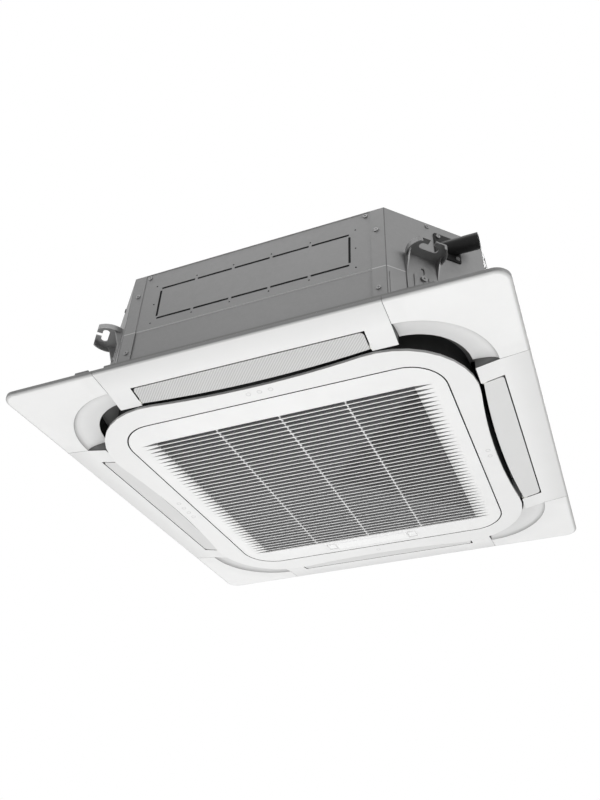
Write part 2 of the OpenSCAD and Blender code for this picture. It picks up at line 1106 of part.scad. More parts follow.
module coil_end_plates() {
  color("silver") hung()
    coil_ends()
      translate([coil_in_half - end_plate_lip, coil_cut, coil_z0])
        cube([coil_t + 2 * end_plate_lip, end_plate_t, coil_h]);
}

// Header that stands behind the coil's end, with its feeds
module coil_header(at, z1, d) {
  translate([at[0], at[1], header_z0])
    cylinder(z1 - header_z0, d = d);
  for (k = [1:tube_rows / 2 - 1])
    translate([at[0], coil_cut + end_plate_t, coil_z0 + 2 * k * row_pitch])
      rotate([-90, 0, 0])
        cylinder(at[1] - coil_cut - end_plate_t, d = feed_d, $fn = small_fn);
}

module coil_tubes() {
  color("peru") hung() {
    coil_header(gas_at, gas_header_z1, gas_header_d);
    coil_header(liquid_at, liquid_header_z1, liquid_header_d);
    coil_ends()
      for (share = tube_shares)
        for (k = [0:tube_rows / 2 - 1])
          translate([
            coil_in_half + coil_t * share,
            coil_cut + end_plate_t,
            coil_z0 + (2 * k + 1) * row_pitch])
            rotate([0, -90, 0])
              rotate_extrude(angle = 180, $fn = 32)
                translate([row_pitch / 2, 0])
                  circle(tube_r, $fn = 16);
  }
}

// Pipe from its header out of the casing, a little thinner behind the tip
module coil_pipe(at, header_d, pipe_d, pipe_z, pipe_in) {
  length = pipe_in + pipe_out;
  difference() {
    translate([at[0], at[1], pipe_z])
      rotate([0, 90, 45])
        difference() {
          union() {
            cylinder(length, r = pipe_d / 2 - pipe_tip_step);
            post(length - pipe_tip_len, pipe_tip_len, pipe_d / 2);
          }
          post(header_d, length, pipe_d / 2 - pipe_wall);
        }
    translate([at[0], at[1], header_z0])
      cylinder(pipe_z, d = header_d + 2 * fit);
  }
}

module gas_pipe() {
  color("peru") hung()
    coil_pipe(gas_at, gas_header_d, gas_pipe_d, gas_z, gas_in);
}

module liquid_pipe() {
  color("peru") hung()
    coil_pipe(liquid_at, liquid_header_d, liquid_pipe_d, liquid_z, liquid_in);
}

module flare_nut(d) {
  length = nut_len_share * d;
  width = nut_width_share * d;
  rotate([0, 90, 0])
    difference() {
      union() {
        cylinder(length / 2, d = width, $fn = 6);
        cylinder(length, d = width * sqrt(3) / 2 - clear);
      }
      post(-over, length + 2 * over, d / 2 - pipe_tip_step + fit);
    }
}

module flare_nuts() {
  color("goldenrod") hung()
    at_corner(1, 1) {
      translate([nut_end - nut_len_share * gas_pipe_d, gas_y, gas_z])
        flare_nut(gas_pipe_d);
      translate([nut_end - nut_len_share * liquid_pipe_d, liquid_y, liquid_z])
        flare_nut(liquid_pipe_d);
    }
}

// Fan and its motor

motor_z1 = casing_z1 - sheet_t - rubber_h;
motor_z0 = motor_z1 - motor_h;

module fan_motor() {
  color("silver") hung()
    difference() {
      union() {
        post(motor_z0, motor_h, motor_d / 2, fine_fn);
        post(motor_z1 - motor_flange_t, motor_flange_t, motor_flange_d / 2, fine_fn);
        post(motor_z0 - bearing_h, bearing_h + over, bearing_d / 2);
        for (k = [0:motor_rib_count - 1])
          rotate(360 * k / motor_rib_count)
            translate([motor_d / 2 - over, -motor_rib_w / 2, motor_z0 + motor_h / 4])
              cube([motor_rib_out + over, motor_rib_w, motor_h / 2]);
      }
      post(motor_z0 - bearing_h - over, motor_h - bearing_h, shaft_d / 2 + fit);
      for (k = [0:rubber_count - 1])
        rotate(360 * k / rubber_count)
          translate([rubber_pcd / 2, 0, motor_z1 - motor_flange_t - over])
            cylinder(motor_flange_t + 2 * over, d = screw_d + clear, $fn = small_fn);
    }
}

module motor_rubbers() {
  color([0.12, 0.12, 0.13]) hung()
    for (k = [0:rubber_count - 1])
      rotate(360 * k / rubber_count)
        translate([rubber_pcd / 2, 0, motor_z1])
          rotate_extrude()
            polygon([
              [0, 0], [rubber_d / 2, 0], [rubber_d / 2, rubber_h / 4],
              [rubber_waist_d / 2, rubber_h / 2], [rubber_d / 2, rubber_h * 3 / 4],
              [rubber_d / 2, rubber_h], [0, rubber_h]]);
}

module motor_shaft() {
  z0 = hub_floor_z - hub_boss_h - nut_h - washer_t - shaft_below;
  color("lightgray") hung()
    post(z0, motor_z0 + motor_h / 2 - z0, shaft_d / 2);
}

function shroud_curve(grow) =
  [for (i = [0:blade_steps])
    let (a = 90 * i / blade_steps, r0 = shroud_in_d / 2 + grow, r1 = fan_d / 2)
      [r1 - (r1 - r0) * cos(a), fan_z0 + shroud_lip_h + (shroud_h - shroud_lip_h) * sin(a) + grow]];

module fan_shroud() {
  r0 = shroud_in_d / 2;
  rotate_extrude($fn = fine_fn)
    polygon(concat(
      [[r0 + shroud_t, fan_z0], [r0, fan_z0]],
      [for (p = shroud_curve(0)) p + [0, shroud_t]],
      [[fan_d / 2, fan_z0 + shroud_h]],
      [for (i = [blade_steps:-1:0])
        let (p = shroud_curve(0)[i])
          [max(p[0], r0 + shroud_t), p[1] - (p[0] < r0 + shroud_t ? shroud_t : 0)]]));
}

module fan_hub() {
  top = fan_z0 + fan_h;
  cup_r = hub_cup_d / 2;
  rotate_extrude($fn = fine_fn)
    polygon([
      [shaft_d / 2 + fit, hub_floor_z - hub_boss_h], [hub_boss_d / 2, hub_floor_z - hub_boss_h],
      [hub_boss_d / 2, hub_floor_z], [cup_r - 2 * hub_t, hub_floor_z], [cup_r, hub_floor_z + 2 * hub_t],
      [cup_r, top - hub_t], [fan_d / 2, top - hub_t], [fan_d / 2, top], [cup_r - hub_t, top],
      [cup_r - hub_t, hub_floor_z + 2 * hub_t], [cup_r - 2 * hub_t, hub_floor_z + hub_t],
      [shaft_d / 2 + fit, hub_floor_z + hub_t]]);
}

// One backward-curved blade in plan: two arcs between the inner and outer radius
module fan_blade_plan() {
  r0 = blade_in_share * fan_d / 2;
  r1 = fan_d / 2;
  function camber(share, grow) =
    let (r = r0 + (r1 - r0) * share, a = blade_sweep * pow(share, 3 / 2))
      r * [cos(a), sin(a)] + grow * [-sin(a), cos(a)];
  polygon(concat(
    [for (i = [0:blade_steps]) camber(i / blade_steps, -blade_t / 2)],
    [for (i = [blade_steps:-1:0]) camber(i / blade_steps, blade_t / 2)]));
}

module turbo_fan() {
  color([0.88, 0.9, 0.9]) hung() {
    fan_hub();
    fan_shroud();
    intersection() {
      for (k = [0:blade_count - 1])
        rotate(360 * k / blade_count)
          layer(fan_z0, fan_h)
            fan_blade_plan();
      rotate_extrude($fn = fine_fn)
        polygon(concat(
          [[blade_in_share * fan_d / 2 - blade_t, fan_z0 + fan_h - hub_t / 2],
          [blade_in_share * fan_d / 2 - blade_t, fan_z0 + shroud_lip_h + shroud_t]],
          [for (p = shroud_curve(0)) p + [0, shroud_t / 2]],
          [[fan_d / 2, fan_z0 + fan_h - hub_t / 2]]));
    }
  }
}

module fan_nut() {
  z1 = hub_floor_z - hub_boss_h;
  color("gray") hung()
    difference() {
      union() {
        post(z1 - washer_t, washer_t, washer_d / 2);
        post(z1 - washer_t - nut_h, nut_h, nut_d / 2, 6);
      }
      post(z1 - washer_t - nut_h - over, nut_h + washer_t + 2 * over, shaft_d / 2 + fit);
    }
}

module bell_mouth() {
  r1 = bell_mouth_d / 2;
  r0 = throat_d / 2;
  function mouth(t) =
    [for (i = [0:bell_steps])
      let (a = 90 * i / bell_steps)
        [r1 - (r1 - r0 - t) * sin(a), bell_z0 + t + (bell_h - t) * (1 - cos(a))]];
  color("ivory") hung()
    rotate_extrude($fn = fine_fn)
      polygon(concat(
        [[bell_flange_d / 2, bell_z0 + bell_flange_t], [bell_flange_d / 2, bell_z0]],
        [for (i = [0:bell_steps]) mouth(0)[i]],
        [for (i = [bell_steps:-1:0]) mouth(bell_t)[i]],
        [[r1, bell_z0 + bell_flange_t]]));
}

// Control box and what it holds

box_z1 = bell_z0 - clear;
box_z0 = box_z1 - box_h;
board_z = box_z1 - box_t - board_stand - board_t;

module control_box() {
  color("silver") hung()
    translate([0, box_y, 0]) {
      difference() {
        translate([-box_len / 2, -box_w / 2, box_z0])
          cube([box_len, box_w, box_h]);
        translate([-box_len / 2 + box_t, -box_w / 2 + box_t, box_z0 - over])
          cube([box_len - 2 * box_t, box_w - 2 * box_t, box_h + over - box_t]);
      }
      for (sx = [-1, 1])
        for (sy = [-1, 1])
          translate([
            board_x + sx * (board_len / 2 - board_stand),
            sy * (board_w / 2 - board_stand),
            board_z + board_t])
            cylinder(board_stand + box_t / 2, d = board_stand, $fn = small_fn);
    }
}

module control_box_cover() {
  color("silver") hung()
    translate([0, box_y, box_z0 - clear - box_lid_t]) {
      translate([-box_len / 2, -box_w / 2, 0])
        cube([box_len, box_w, box_lid_t]);
      for (sx = [-1, 1])
        translate([sx * (box_len / 2 - screw_head_d), 0, 0])
          rotate([180, 0, 0])
            screw(screw_d, box_lid_t / 2, screw_head_d, screw_head_h);
    }
}

module control_board() {
  color("darkgreen") hung()
    translate([board_x, box_y, board_z]) {
      translate([-board_len / 2, -board_w / 2, 0])
        cube([board_len, board_w, board_t]);
      for (k = [0:2])
        translate([-board_len / 2 + (k + 1) * (cap_d + clear) * 3 / 2, -board_w / 4, -cap_h])
          cylinder(cap_h + board_t / 2, d = cap_d);
      for (k = [0:1])
        translate([board_len / 8 + k * relay[0] * 3 / 2, -board_w / 2 + board_stand, -relay[2]])
          cube(relay + [0, 0, board_t / 2]);
      translate([-heat_sink[0] / 2, board_stand, -heat_sink[2]])
        cube(heat_sink + [0, 0, board_t / 2]);
    }
}

module terminal_block() {
  way = block_len / block_ways;
  z1 = box_z1 - box_t - clear;
  color([0.15, 0.15, 0.16]) hung()
    translate([block_x, box_y, z1 - block_h])
      difference() {
        translate([-block_len / 2, -block_w / 2, 0])
          cube([block_len, block_w, block_h]);
        for (k = [0:block_ways - 1])
          for (sy = [-1, 1])
            translate([(k - (block_ways - 1) / 2) * way, sy * block_w / 4, -over])
              cylinder(block_h / 2, d = block_screw_d, $fn = small_fn);
      }
}

// Drain pump and its parts

module drain_pump() {
  body_z = pump_z0 + pump_low_h;
  motor_z = body_z + pump_h;
  color([0.9, 0.9, 0.86]) hung() {
    translate([pump_x, -pump_y, 0]) {
      post(pump_z0, pump_low_h + over, pump_inlet_d / 2);
      post(body_z, pump_h, pump_d / 2);
      post(motor_z - over, pump_motor_h + over, pump_motor_d / 2);
    }
    translate([pump_x + riser_in, -pump_y, body_z + pump_h / 2])
      cylinder(drain_z - body_z - pump_h / 2, d = riser_d);
    translate([pump_x + riser_in, -pump_y, drain_z])
      sphere(d = riser_d);
    translate([pump_x + riser_in, -pump_y, drain_z])
      rod(hose_x0 - clear - pump_x - riser_in, riser_d / 2);
  }
}

module drain_hose() {
  color([0.2, 0.2, 0.21]) hung()
    translate([hose_x0, -pump_y, drain_z])
      rotate([0, 90, 0])
        tube(hose_x1 - clear - hose_x0, drain_pipe_d / 2 - hose_wall, hose_wall);
}

module drain_outlet() {
  color([0.13, 0.13, 0.14]) hung()
    difference() {
      union() {
        at_corner(1, -1)
          translate([0, flange_y, drain_z])
            rotate([90, 0, 90])
              linear_extrude(flange_t)
                round_rect(flange_w, flange_h, flange_t);
        translate([hose_x1, -pump_y, drain_z])
          rod(drain_x1 - hose_x1, drain_pipe_d / 2 - drain_socket_step);
        translate([drain_x1 - drain_socket_len, -pump_y, drain_z])
          rod(drain_socket_len, drain_pipe_d / 2);
      }
      translate([hose_x1 - over, -pump_y, drain_z])
        rod(drain_x1 - hose_x1 + 2 * over, drain_pipe_d / 2 - drain_wall);
      at_flange_screws()
        screw_hole(screw_d);
    }
}

module float_switch() {
  d = [float_x - pump_x, pump_y - float_y];
  turn = atan2(d[1], d[0]);
  reach = sqrt(d[0] * d[0] + d[1] * d[1]);
  ring_r = pump_motor_d / 2 + clear;
  stop_z = float_base_z + float_h + float_travel + clear;
  color("white") hung() {
    translate([float_x, -float_y, 0]) {
      translate([0, 0, float_base_z - clear - float_stop_h])
        cylinder(float_arm_z + float_arm_t - float_base_z + clear + float_stop_h, d = float_stem_d);
      post(float_base_z - clear - float_stop_h, float_stop_h, float_stop_d / 2);
      post(stop_z, float_stop_h, float_stop_d / 2);
    }
    translate([pump_x, -pump_y, float_arm_z])
      rotate(turn)
        difference() {
          union() {
            cylinder(float_arm_t, r = ring_r + float_ring_w);
            translate([0, -float_arm_w / 2, 0])
              cube([reach, float_arm_w, float_arm_t]);
            translate([reach, 0, 0])
              cylinder(float_arm_t, d = float_arm_w);
          }
          post(-over, float_arm_t + 2 * over, ring_r);
        }
  }
}

module float() {
  color("orange") hung()
    translate([float_x, -float_y, float_base_z])
      tube(float_h, float_d / 2, (float_d - float_stem_d) / 2 - fit);
}

// Panel

// Air duct between the panel's outlets and the casing, grown by g
module duct_outline(g) {
  half = corner_mid + channel_r;
  round_square(half + g, channel_r + g);
  on_sides()
    translate([0, -(ring_u + fold_u + g) / 2])
      square([2 * (bridge_x + g), fold_u + g - ring_u], center = true);
}

module duct_liner() {
  z0 = bridge_top + clear;
  color([0.1, 0.1, 0.11]) hung() {
    layer(z0, top_z - top_plate_t - clear - z0)
      difference() {
        duct_outline(channel_wall);
        duct_outline(0);
      }
    layer(apron_z + clear, top_z - top_plate_t - 2 * clear - apron_z)
      difference() {
        round_square(ring_u, ring_r);
        round_square(ring_u - ring_t, ring_r - ring_t);
      }
  }
}

module panel_bar() {
  length = 2 * (seam_x - seam / 2);
  liner_u = fold_u + channel_wall + clear;
  front_bar(length)
    polygon(concat(
      [[fold_u, -rim_fall]], rim_edge(panel_half),
      [[panel_half, rim_t], [box_half, rim_t], [box_half, bridge_top],
      [liner_u, bridge_top], [liner_u, rim_t], [fold_u, rim_t]]));
  for (sx = [-1, 1])
    translate([sx * (bridge_x + length / 2) / 2, 0, 0])
      front_bar(length / 2 - bridge_x)
        polygon([
          [fold_u + over, -rim_fall + over], [fold_u, -rim_fall], [apron_u, apron_z],
          [apron_u, bridge_top], [fold_u + over, bridge_top]]);
}

// Places a thing at both ends of a flap's pivot line, with X away from the flap
module flap_ends() {
  for (sx = [-1, 1])
    to_corner(sx, -1)
      translate([bridge_x, -pivot_u, pivot_z])
        children();
}

module flap_motor_seat(gap) {
  translate([bush_len + clear - gap, -flap_motor_off[0], flap_motor_off[1]])
    rod(flap_motor_len + 2 * gap, flap_motor_d / 2 + gap);
}

module flap_motor_cuts() {
  translate([bridge_x, -pivot_u, pivot_z]) {
    flap_motor_seat(clear);
    translate([
      bush_len,
      -flap_motor_off[0] - flap_motor_d / 2 - clear,
      flap_motor_off[1]])
      cube([flap_motor_len + 2 * clear, flap_motor_d + 2 * clear, 2 * bridge_top + flap_motor_d]);
  }
}

// Corner stand that carries a panel bolt between the corner floor and the top plate
module bolt_stand() {
  translate([lug_bolt_out, 0, floor_z])
    cylinder(top_z - floor_z, r = post_r);
}

module panel_frame() {
  color([0.93, 0.93, 0.92]) hung()
    difference() {
      on_sides()
        panel_bar();
      on_sides() {
        flap_ends()
          translate([-over, 0, 0])
            rod(bush_len + clear + over, bush_r + fit);
        flap_motor_cuts();
      }
    }
}

// Box above the panel's frame: walls, corner floors, top plate and bolt stands
module panel_box() {
  top_cut = cut_dist + lug_out + 2 * clear;
  bar_len = 2 * seam_x;
  bar_in = fold_u + channel_wall;
  color([0.93, 0.93, 0.92]) hung()
    difference() {
      union() {
        layer(rim_t + clear, box_top - rim_t - clear)
          difference() {
            octagon(box_half, box_cut_dist);
            octagon(box_half - box_wall_t, box_cut_dist - box_wall_t);
          }
        layer(floor_z, floor_t)
          difference() {
            octagon(box_half - box_wall_t / 2, box_cut_dist - box_wall_t / 2);
            duct_outline(channel_wall + clear);
          }
        layer(top_z - top_plate_t, top_plate_t)
          difference() {
            octagon(box_half - box_wall_t / 2, top_cut);
            round_square(ring_u - ring_t, ring_r - ring_t);
          }
        at_corners()
          bolt_stand();
      }
      on_sides() {
        translate([0, -(ring_u + duct_u1) / 2, top_z])
          cube([duct_len, duct_u1 - ring_u, 2 * top_plate_t + over], center = true);
        translate([-bar_len / 2, -box_half - over, 0])
          cube([bar_len, box_half + over - bar_in, bridge_top + clear]);
      }
      at_corners() {
        translate([lug_bolt_out, 0, floor_z - over])
          cylinder(top_z - floor_z + 2 * over, d = bolt_d + 2 * clear);
        for (s = [-1, 1])
          translate([clip_out, s * clip_off, floor_z + floor_t / 2])
            cube([clip_t + 2 * clear, clip_w + 2 * clear, 2 * floor_t], center = true);
      }
      translate([box_notch_x[0], -box_half - over, box_top - box_notch_h])
        cube([box_notch_x[1] - box_notch_x[0], box_wall_t + 2 * over, box_notch_h + over]);
    }
}

module panel_gasket() {
  color([0.14, 0.14, 0.15]) hung() {
    layer(top_z, gasket_t)
      difference() {
        casing_outline(0);
        casing_outline(gasket_w);
      }
    on_sides()
      translate([0, -casing_half - tape_t / 2, box_top + tape_h / 2])
        cube([2 * flat_half, tape_t, tape_h], center = true);
  }
}

module panel_bolts() {
  length = casing_z0 + lug_t + 2 * bolt_head_h - floor_z;
  color("gray") hung()
    at_corners()
      translate([lug_bolt_out, 0, floor_z]) {
        rotate([180, 0, 0])
          screw(bolt_d, length, bolt_head_d, bolt_head_h);
        post(casing_z0 + lug_t - floor_z, bolt_head_h, bolt_head_d / 2, 6);
      }
}

// Covers

module cover_env() {
  flat = 2 * (panel_half - panel_corner_r);
  for (k = [1:2])
    to_side(k)
      front_bar(flat)
        polygon(concat(
          [[corner_mid, rim_t], [corner_mid, intake_z], [panel_half - rim_round, intake_z]],
          rim_edge(panel_half),
          [[panel_half, rim_t]]));
  translate([panel_half - panel_corner_r, panel_half - panel_corner_r, 0])
    rotate_extrude(angle = 90)
      polygon(concat(
        [[0, rim_t], [0, intake_z], [panel_corner_r - rim_round, intake_z]],
        rim_edge(panel_corner_r),
        [[panel_corner_r, rim_t]]));
}

module corner_cover(sx, sy) {
  far = 2 * (panel_half - corner_mid);
  slope_r = panel_half - rim_round - corner_mid;
  color([0.93, 0.93, 0.92]) hung()
    mirror([sx < 0 ? 1 : 0, 0, 0])
      mirror([0, sy < 0 ? 1 : 0, 0]) {
        difference() {
          intersection() {
            translate([corner_mid, corner_mid, 0])
              rotate_extrude(angle = 90, $fn = fine_fn)
                polygon(concat(
                  [[cove_slot_r, rim_t]],
                  [for (i = [cove_steps:-1:0])
                    let (a = 90 * i / cove_steps)
                      [cove_slot_r + (cove_fold_r - cove_slot_r) * cos(a),
                      -rim_fall + (cove_z + rim_fall) * sin(a)]],
                  [[slope_r, 0], [far, 0], [far, rim_t]]));
            cover_env();
            translate([seam_x + seam / 2, seam_x + seam / 2, intake_z])
              cube(panel_half);
          }
          layer(cover_skin_t, rim_t)
            difference() {
              octagon(box_half - 2 * box_wall_t, box_cut_dist - 2 * box_wall_t);
              translate([corner_mid, corner_mid])
                circle(cove_fold_r + cover_skin_t, $fn = fine_fn);
              translate([-panel_half, -panel_half])
                square([2 * panel_half, panel_half + seam_x + 2 * cover_skin_t]);
              translate([-panel_half, -panel_half])
                square([panel_half + seam_x + 2 * cover_skin_t, 2 * panel_half]);
            }
        }
        mirror([0, 1, 0])
          at_corner(1, -1)
            for (s = [-1, 1])
              translate([clip_out, s * clip_off, clip_top / 2 + cover_skin_t / 2])
                cube([clip_t, clip_w, clip_top - cover_skin_t], center = true);
      }
}

module corner_cover_front_left() {
  corner_cover(-1, -1);
}

module corner_cover_front_right() {
  corner_cover(1, -1);
}

module corner_cover_rear_left() {
  corner_cover(-1, 1);
}

module corner_cover_rear_right() {
  corner_cover(1, 1);
}

// Intake frame

module ring_mark(x, y) {
  translate([x, y, intake_z - ring_mark_h])
    difference() {
      cylinder(ring_mark_h + over, d = ring_mark_d);
      post(-over, ring_mark_h + over, ring_mark_d / 2 - ring_mark_w);
    }
}

// Places a thing at both hinges of the grille, with its origin on the pin
module at_hinges() {
  for (sx = [-1, 1])
    translate([sx * hinge_x, -opening_half - seam_wall_t - hinge_out, intake_z + hinge_rise])
      children();
}

// Pin with an ear at each end
module hinge_ears() {
  half = hinge_arm_w / 2 + hinge_gap;
  for (sx = [-1, 1])
    translate([sx * (half + hinge_ear_w / 2), 0, 0])
      rod(hinge_ear_w, hinge_ring_r, center = true);
  rod(2 * (half + over), hinge_pin_r, center = true);
}

// Room under a hinge's ring
module hinge_pocket() {
  r = hinge_ring_r + hinge_gap;
  translate([0, 0, over / 2])
    cube([hinge_arm_w + 2 * hinge_gap, 2 * r, 2 * r + over], center = true);
}

// Ledge that a latch's nose hooks over
module latch_catch() {
  y0 = strip_y0 + latch_pivot_in + latch_d - latch_edge_gap + catch_lap;
  translate([-catch_w / 2, y0, catch_z])
    cube([catch_w, opening_half + seam_wall_t - y0, catch_t]);
  translate([-catch_w / 2, opening_half, seam_wall_z - over])
    cube([catch_w, seam_wall_t, catch_z + catch_t + over - seam_wall_z]);
}

module intake_frame() {
  color([0.93, 0.93, 0.92]) hung() {
    difference() {
      layer(intake_z, frame_plate_t)
        bowed(frame_half, frame_r, frame_sag);
      layer(intake_z - over, frame_plate_t + 2 * over)
        round_square(opening_half, opening_r);
      at_hinges()
        hinge_pocket();
    }
    at_hinges()
      hinge_ears();
    layer(apron_z - over, seam_wall_z - apron_z + over)
      difference() {
        round_square(opening_half + seam_wall_t, opening_r + seam_wall_t);
        round_square(opening_half, opening_r);
      }
    for (k = [0:2])
      ring_mark((k - 1) * ring_mark_pitch, -ring_mark_u);
    for (k = [0:1])
      ring_mark(ring_mark_u, (k - 1 / 2) * ring_mark_pitch);
    ring_mark(0, ring_mark_u);
    for (k = [0:3])
      ring_mark(-ring_mark_u, (k - 3 / 2) * ring_mark_pitch);
    for (sx = [-1, 1])
      translate([sx * (strip_w - latch_w) / 2, 0, 0])
        latch_catch();
  }
}

// Flaps

function flap_plan() =
  let (half = flap_len / 2,
    u1 = fold_u - flap_out_gap,
    bow = flap_in_end - flap_in_mid,
    r = (half * half + bow * bow) / (2 * bow),
    t = asin(half / r),
    c = flap_corner_r)
  concat(
    arc([half - c, c - u1], c, 0, -90, round_steps),
    arc([c - half, c - u1], c, -90, -180, round_steps),
    arc([0, -flap_in_mid - r], r, 90 + t, 90 - t, flap_steps));

module flap() {
  half = flap_len / 2;
  color([0.8, 0.8, 0.8]) hung() {
    intersection() {
      front_bar(flap_len)
        polygon([
          [fold_u, apron_at(fold_u)], [fold_u, apron_at(fold_u) + flap_t],
          [ring_u, apron_at(ring_u) + flap_t], [ring_u, apron_at(ring_u)]]);
      layer(2 * intake_z, -2 * intake_z)
        polygon(flap_plan());
    }
    front_bar(flap_len - 4 * flap_lug_t)
      polygon([
        [flap_rib_u, apron_at(flap_rib_u) + flap_t / 2],
        [flap_rib_u + flap_rib_t, apron_at(flap_rib_u) + flap_t / 2],
        [flap_rib_u + flap_rib_t, apron_at(flap_rib_u) + flap_t + flap_rib_h],
        [flap_rib_u, apron_at(flap_rib_u) + flap_t + flap_rib_h]]);
    for (sx = [-1, 1])
      to_corner(sx, -1) {
        translate([half - flap_lug_t, -pivot_u, pivot_z])
          rod(flap_lug_t, flap_lug_r);
        translate([half - flap_lug_t / 2, 0, 0])
          front_bar(flap_lug_t)
            polygon([
              [pivot_u, apron_at(pivot_u) + flap_t / 2],
              [pivot_u + flap_lug_len, apron_at(pivot_u + flap_lug_len) + flap_t / 2],
              [pivot_u + flap_lug_r, pivot_z],
              [pivot_u, pivot_z]]);
        translate([half - flap_lug_t, -pivot_u, pivot_z])
          rod(flap_lug_t + flap_pin_len, flap_pin_r);
      }
  }
}

module flap_front() {
  to_side(0)
    flap();
}

module flap_right() {
  to_side(1)
    flap();
}

module flap_rear() {
  to_side(2)
    flap();
}

module flap_left() {
  to_side(3)
    flap();
}

module flap_bushes() {
  color("ivory") hung()
    on_sides()
      flap_ends()
        rotate([0, 90, 0])
          difference() {
            union() {
              cylinder(bush_len, r = bush_r);
              post(-bush_flange_t, bush_flange_t, bush_flange_r);
            }
            post(-bush_flange_t - over, bush_len + bush_flange_t + 2 * over, flap_pin_r + fit);
          }
}

module flap_motors() {
  pin_end = flap_len / 2 + flap_pin_len - bridge_x;
  color("silver") hung()
    on_sides()
      translate([bridge_x, -pivot_u, pivot_z]) {
        flap_motor_seat(0);
        translate([pin_end + clear, 0, 0])
          rod(bush_len - pin_end + over, flap_motor_shaft_r);
      }
}

// Intake grille and what rides on it

// Beam beside the slats, notched by the grooves' pointed ends
module grille_side(sx) {
  to_corner(sx, -1)
    difference() {
      translate([slat_field_w / 2, -slat_pitch * groove_count / 2, intake_z])
        cube([groove_tip_len + slat_low_w, slat_pitch * groove_count, slat_h * 3 / 4]);
      for (k = [0:groove_count - 1])
        translate([slat_field_w / 2, (k - (groove_count - 1) / 2) * slat_pitch, intake_z])
          rotate([0, atan2(groove_depth, groove_tip_len), 0])
            rotate([90, 0, 90])
              layer(-groove_depth, 2 * groove_tip_len)
                polygon([
                  [0, groove_depth], [-groove_w, -groove_depth],
                  [groove_w, -groove_depth]]);
    }
}

module grille_slats() {
  for (k = [1:groove_count - 1])
    translate([0, (k - groove_count / 2) * slat_pitch, intake_z])
      rotate([90, 0, 90])
        linear_extrude(slat_field_w + 2 * over, center = true)
          polygon([
            [-slat_low_w / 2, 0], [slat_low_w / 2, 0],
            [slat_lean + slat_top_w / 2, slat_h], [slat_lean - slat_top_w / 2, slat_h]]);
  for (k = [0:cross_rib_count - 1])
    translate([
      (k - (cross_rib_count - 1) / 2) * cross_rib_pitch - rib_bar_w / 2,
      -slat_pitch * groove_count / 2,
      intake_z + grille_t])
      cube([rib_bar_w, slat_pitch * groove_count, slat_h - grille_t]);
}

// Swan-neck arm from the grille over the frame's seam wall to the hinge pin
module hinge_arm() {
  foot = hinge_rise - grille_t / 2;
  rotate([90, 0, 90])
    linear_extrude(hinge_arm_w, center = true)
      difference() {
        union() {
          translate([hinge_arm_r, -foot])
            square([hinge_arm_t, foot]);
          polygon(concat(
            arc([0, 0], hinge_arm_r + hinge_arm_t, 0, hinge_arm_turn, hinge_arm_steps),
            arc([0, 0], hinge_arm_r, hinge_arm_turn, 0, hinge_arm_steps)));
          rotate(hinge_arm_turn) {
            translate([0, -hinge_arm_t / 2])
              square([hinge_arm_r + hinge_arm_t / 2, hinge_arm_t]);
            translate([hinge_arm_r + hinge_arm_t / 2, 0])
              circle(d = hinge_arm_t, $fn = small_fn);
          }
          circle(hinge_ring_r);
        }
        circle(hinge_pin_r + fit);
      }
}

module grille_latch_lugs() {
  for (sx = [-1, 1])
    for (s = [-1, 1])
      translate([
        sx * (strip_w - latch_w) / 2 + s * (latch_w / 2 + latch_edge_gap + latch_lug_t / 2)
          - latch_lug_t / 2,
        strip_y0 + latch_pivot_in,
        intake_z + latch_pivot_rise])
        rotate([0, 90, 0])
          difference() {
            cylinder(latch_lug_t, r = latch_lug_r);
            post(-over, latch_lug_t + 2 * over, latch_pin_r + fit);
          }
}

module intake_grille() {
  field = slat_pitch * groove_count - slat_low_w;
  strip_mid = strip_w / 2 - latch_w - latch_edge_gap - latch_lug_t;
  color([0.9, 0.9, 0.89]) hung() {
    difference() {
      union() {
        layer(intake_z, grille_t)
          round_square(grille_half, grille_r);
        layer(intake_z, grille_edge_h)
          difference() {
            round_square(grille_half, grille_r);
            round_square(grille_half - grille_edge_t, grille_r - grille_edge_t);
          }
      }
      translate([0, 0, intake_z])
        cube([slat_field_w + 2 * groove_tip_len, field, 4 * slat_h], center = true);
      translate([-strip_mid, strip_y0 - strip_seam, intake_z - over])
        cube([2 * strip_mid, strip_d + 2 * strip_seam, 2 * grille_t]);
      for (sx = [-1, 1])
        translate([sx * (strip_w - latch_w) / 2, strip_y0 + latch_d / 2, intake_z])
          cube([latch_w + 2 * latch_edge_gap, latch_d + 4 * latch_edge_gap, 4 * grille_t],
            center = true);
    }
    for (sx = [-1, 1])
      grille_side(sx);
    grille_slats();
    grille_latch_lugs();
    at_hinges()
      hinge_arm();
  }
}

module air_filter() {
  depth = filter_y1 - filter_y0;
  z0 = intake_z + slat_h + filter_gap;
  color([0.35, 0.36, 0.38]) hung()
    translate([0, (filter_y0 + filter_y1) / 2, z0]) {
      difference() {
        translate([-filter_w / 2, -depth / 2, 0])
          cube([filter_w, depth, filter_t]);
        translate([-filter_w / 2 + filter_frame_w, -depth / 2 + filter_frame_w, filter_net_t])
          cube([filter_w - 2 * filter_frame_w, depth - 2 * filter_frame_w, filter_t]);
      }
      for (k = [0:filter_bars - 1])
        translate([
          (k - (filter_bars - 1) / 2) * filter_w / (filter_bars + 1) - filter_bar_w / 2,
          -depth / 2,
          0])
          cube([filter_bar_w, depth, filter_t]);
    }
}

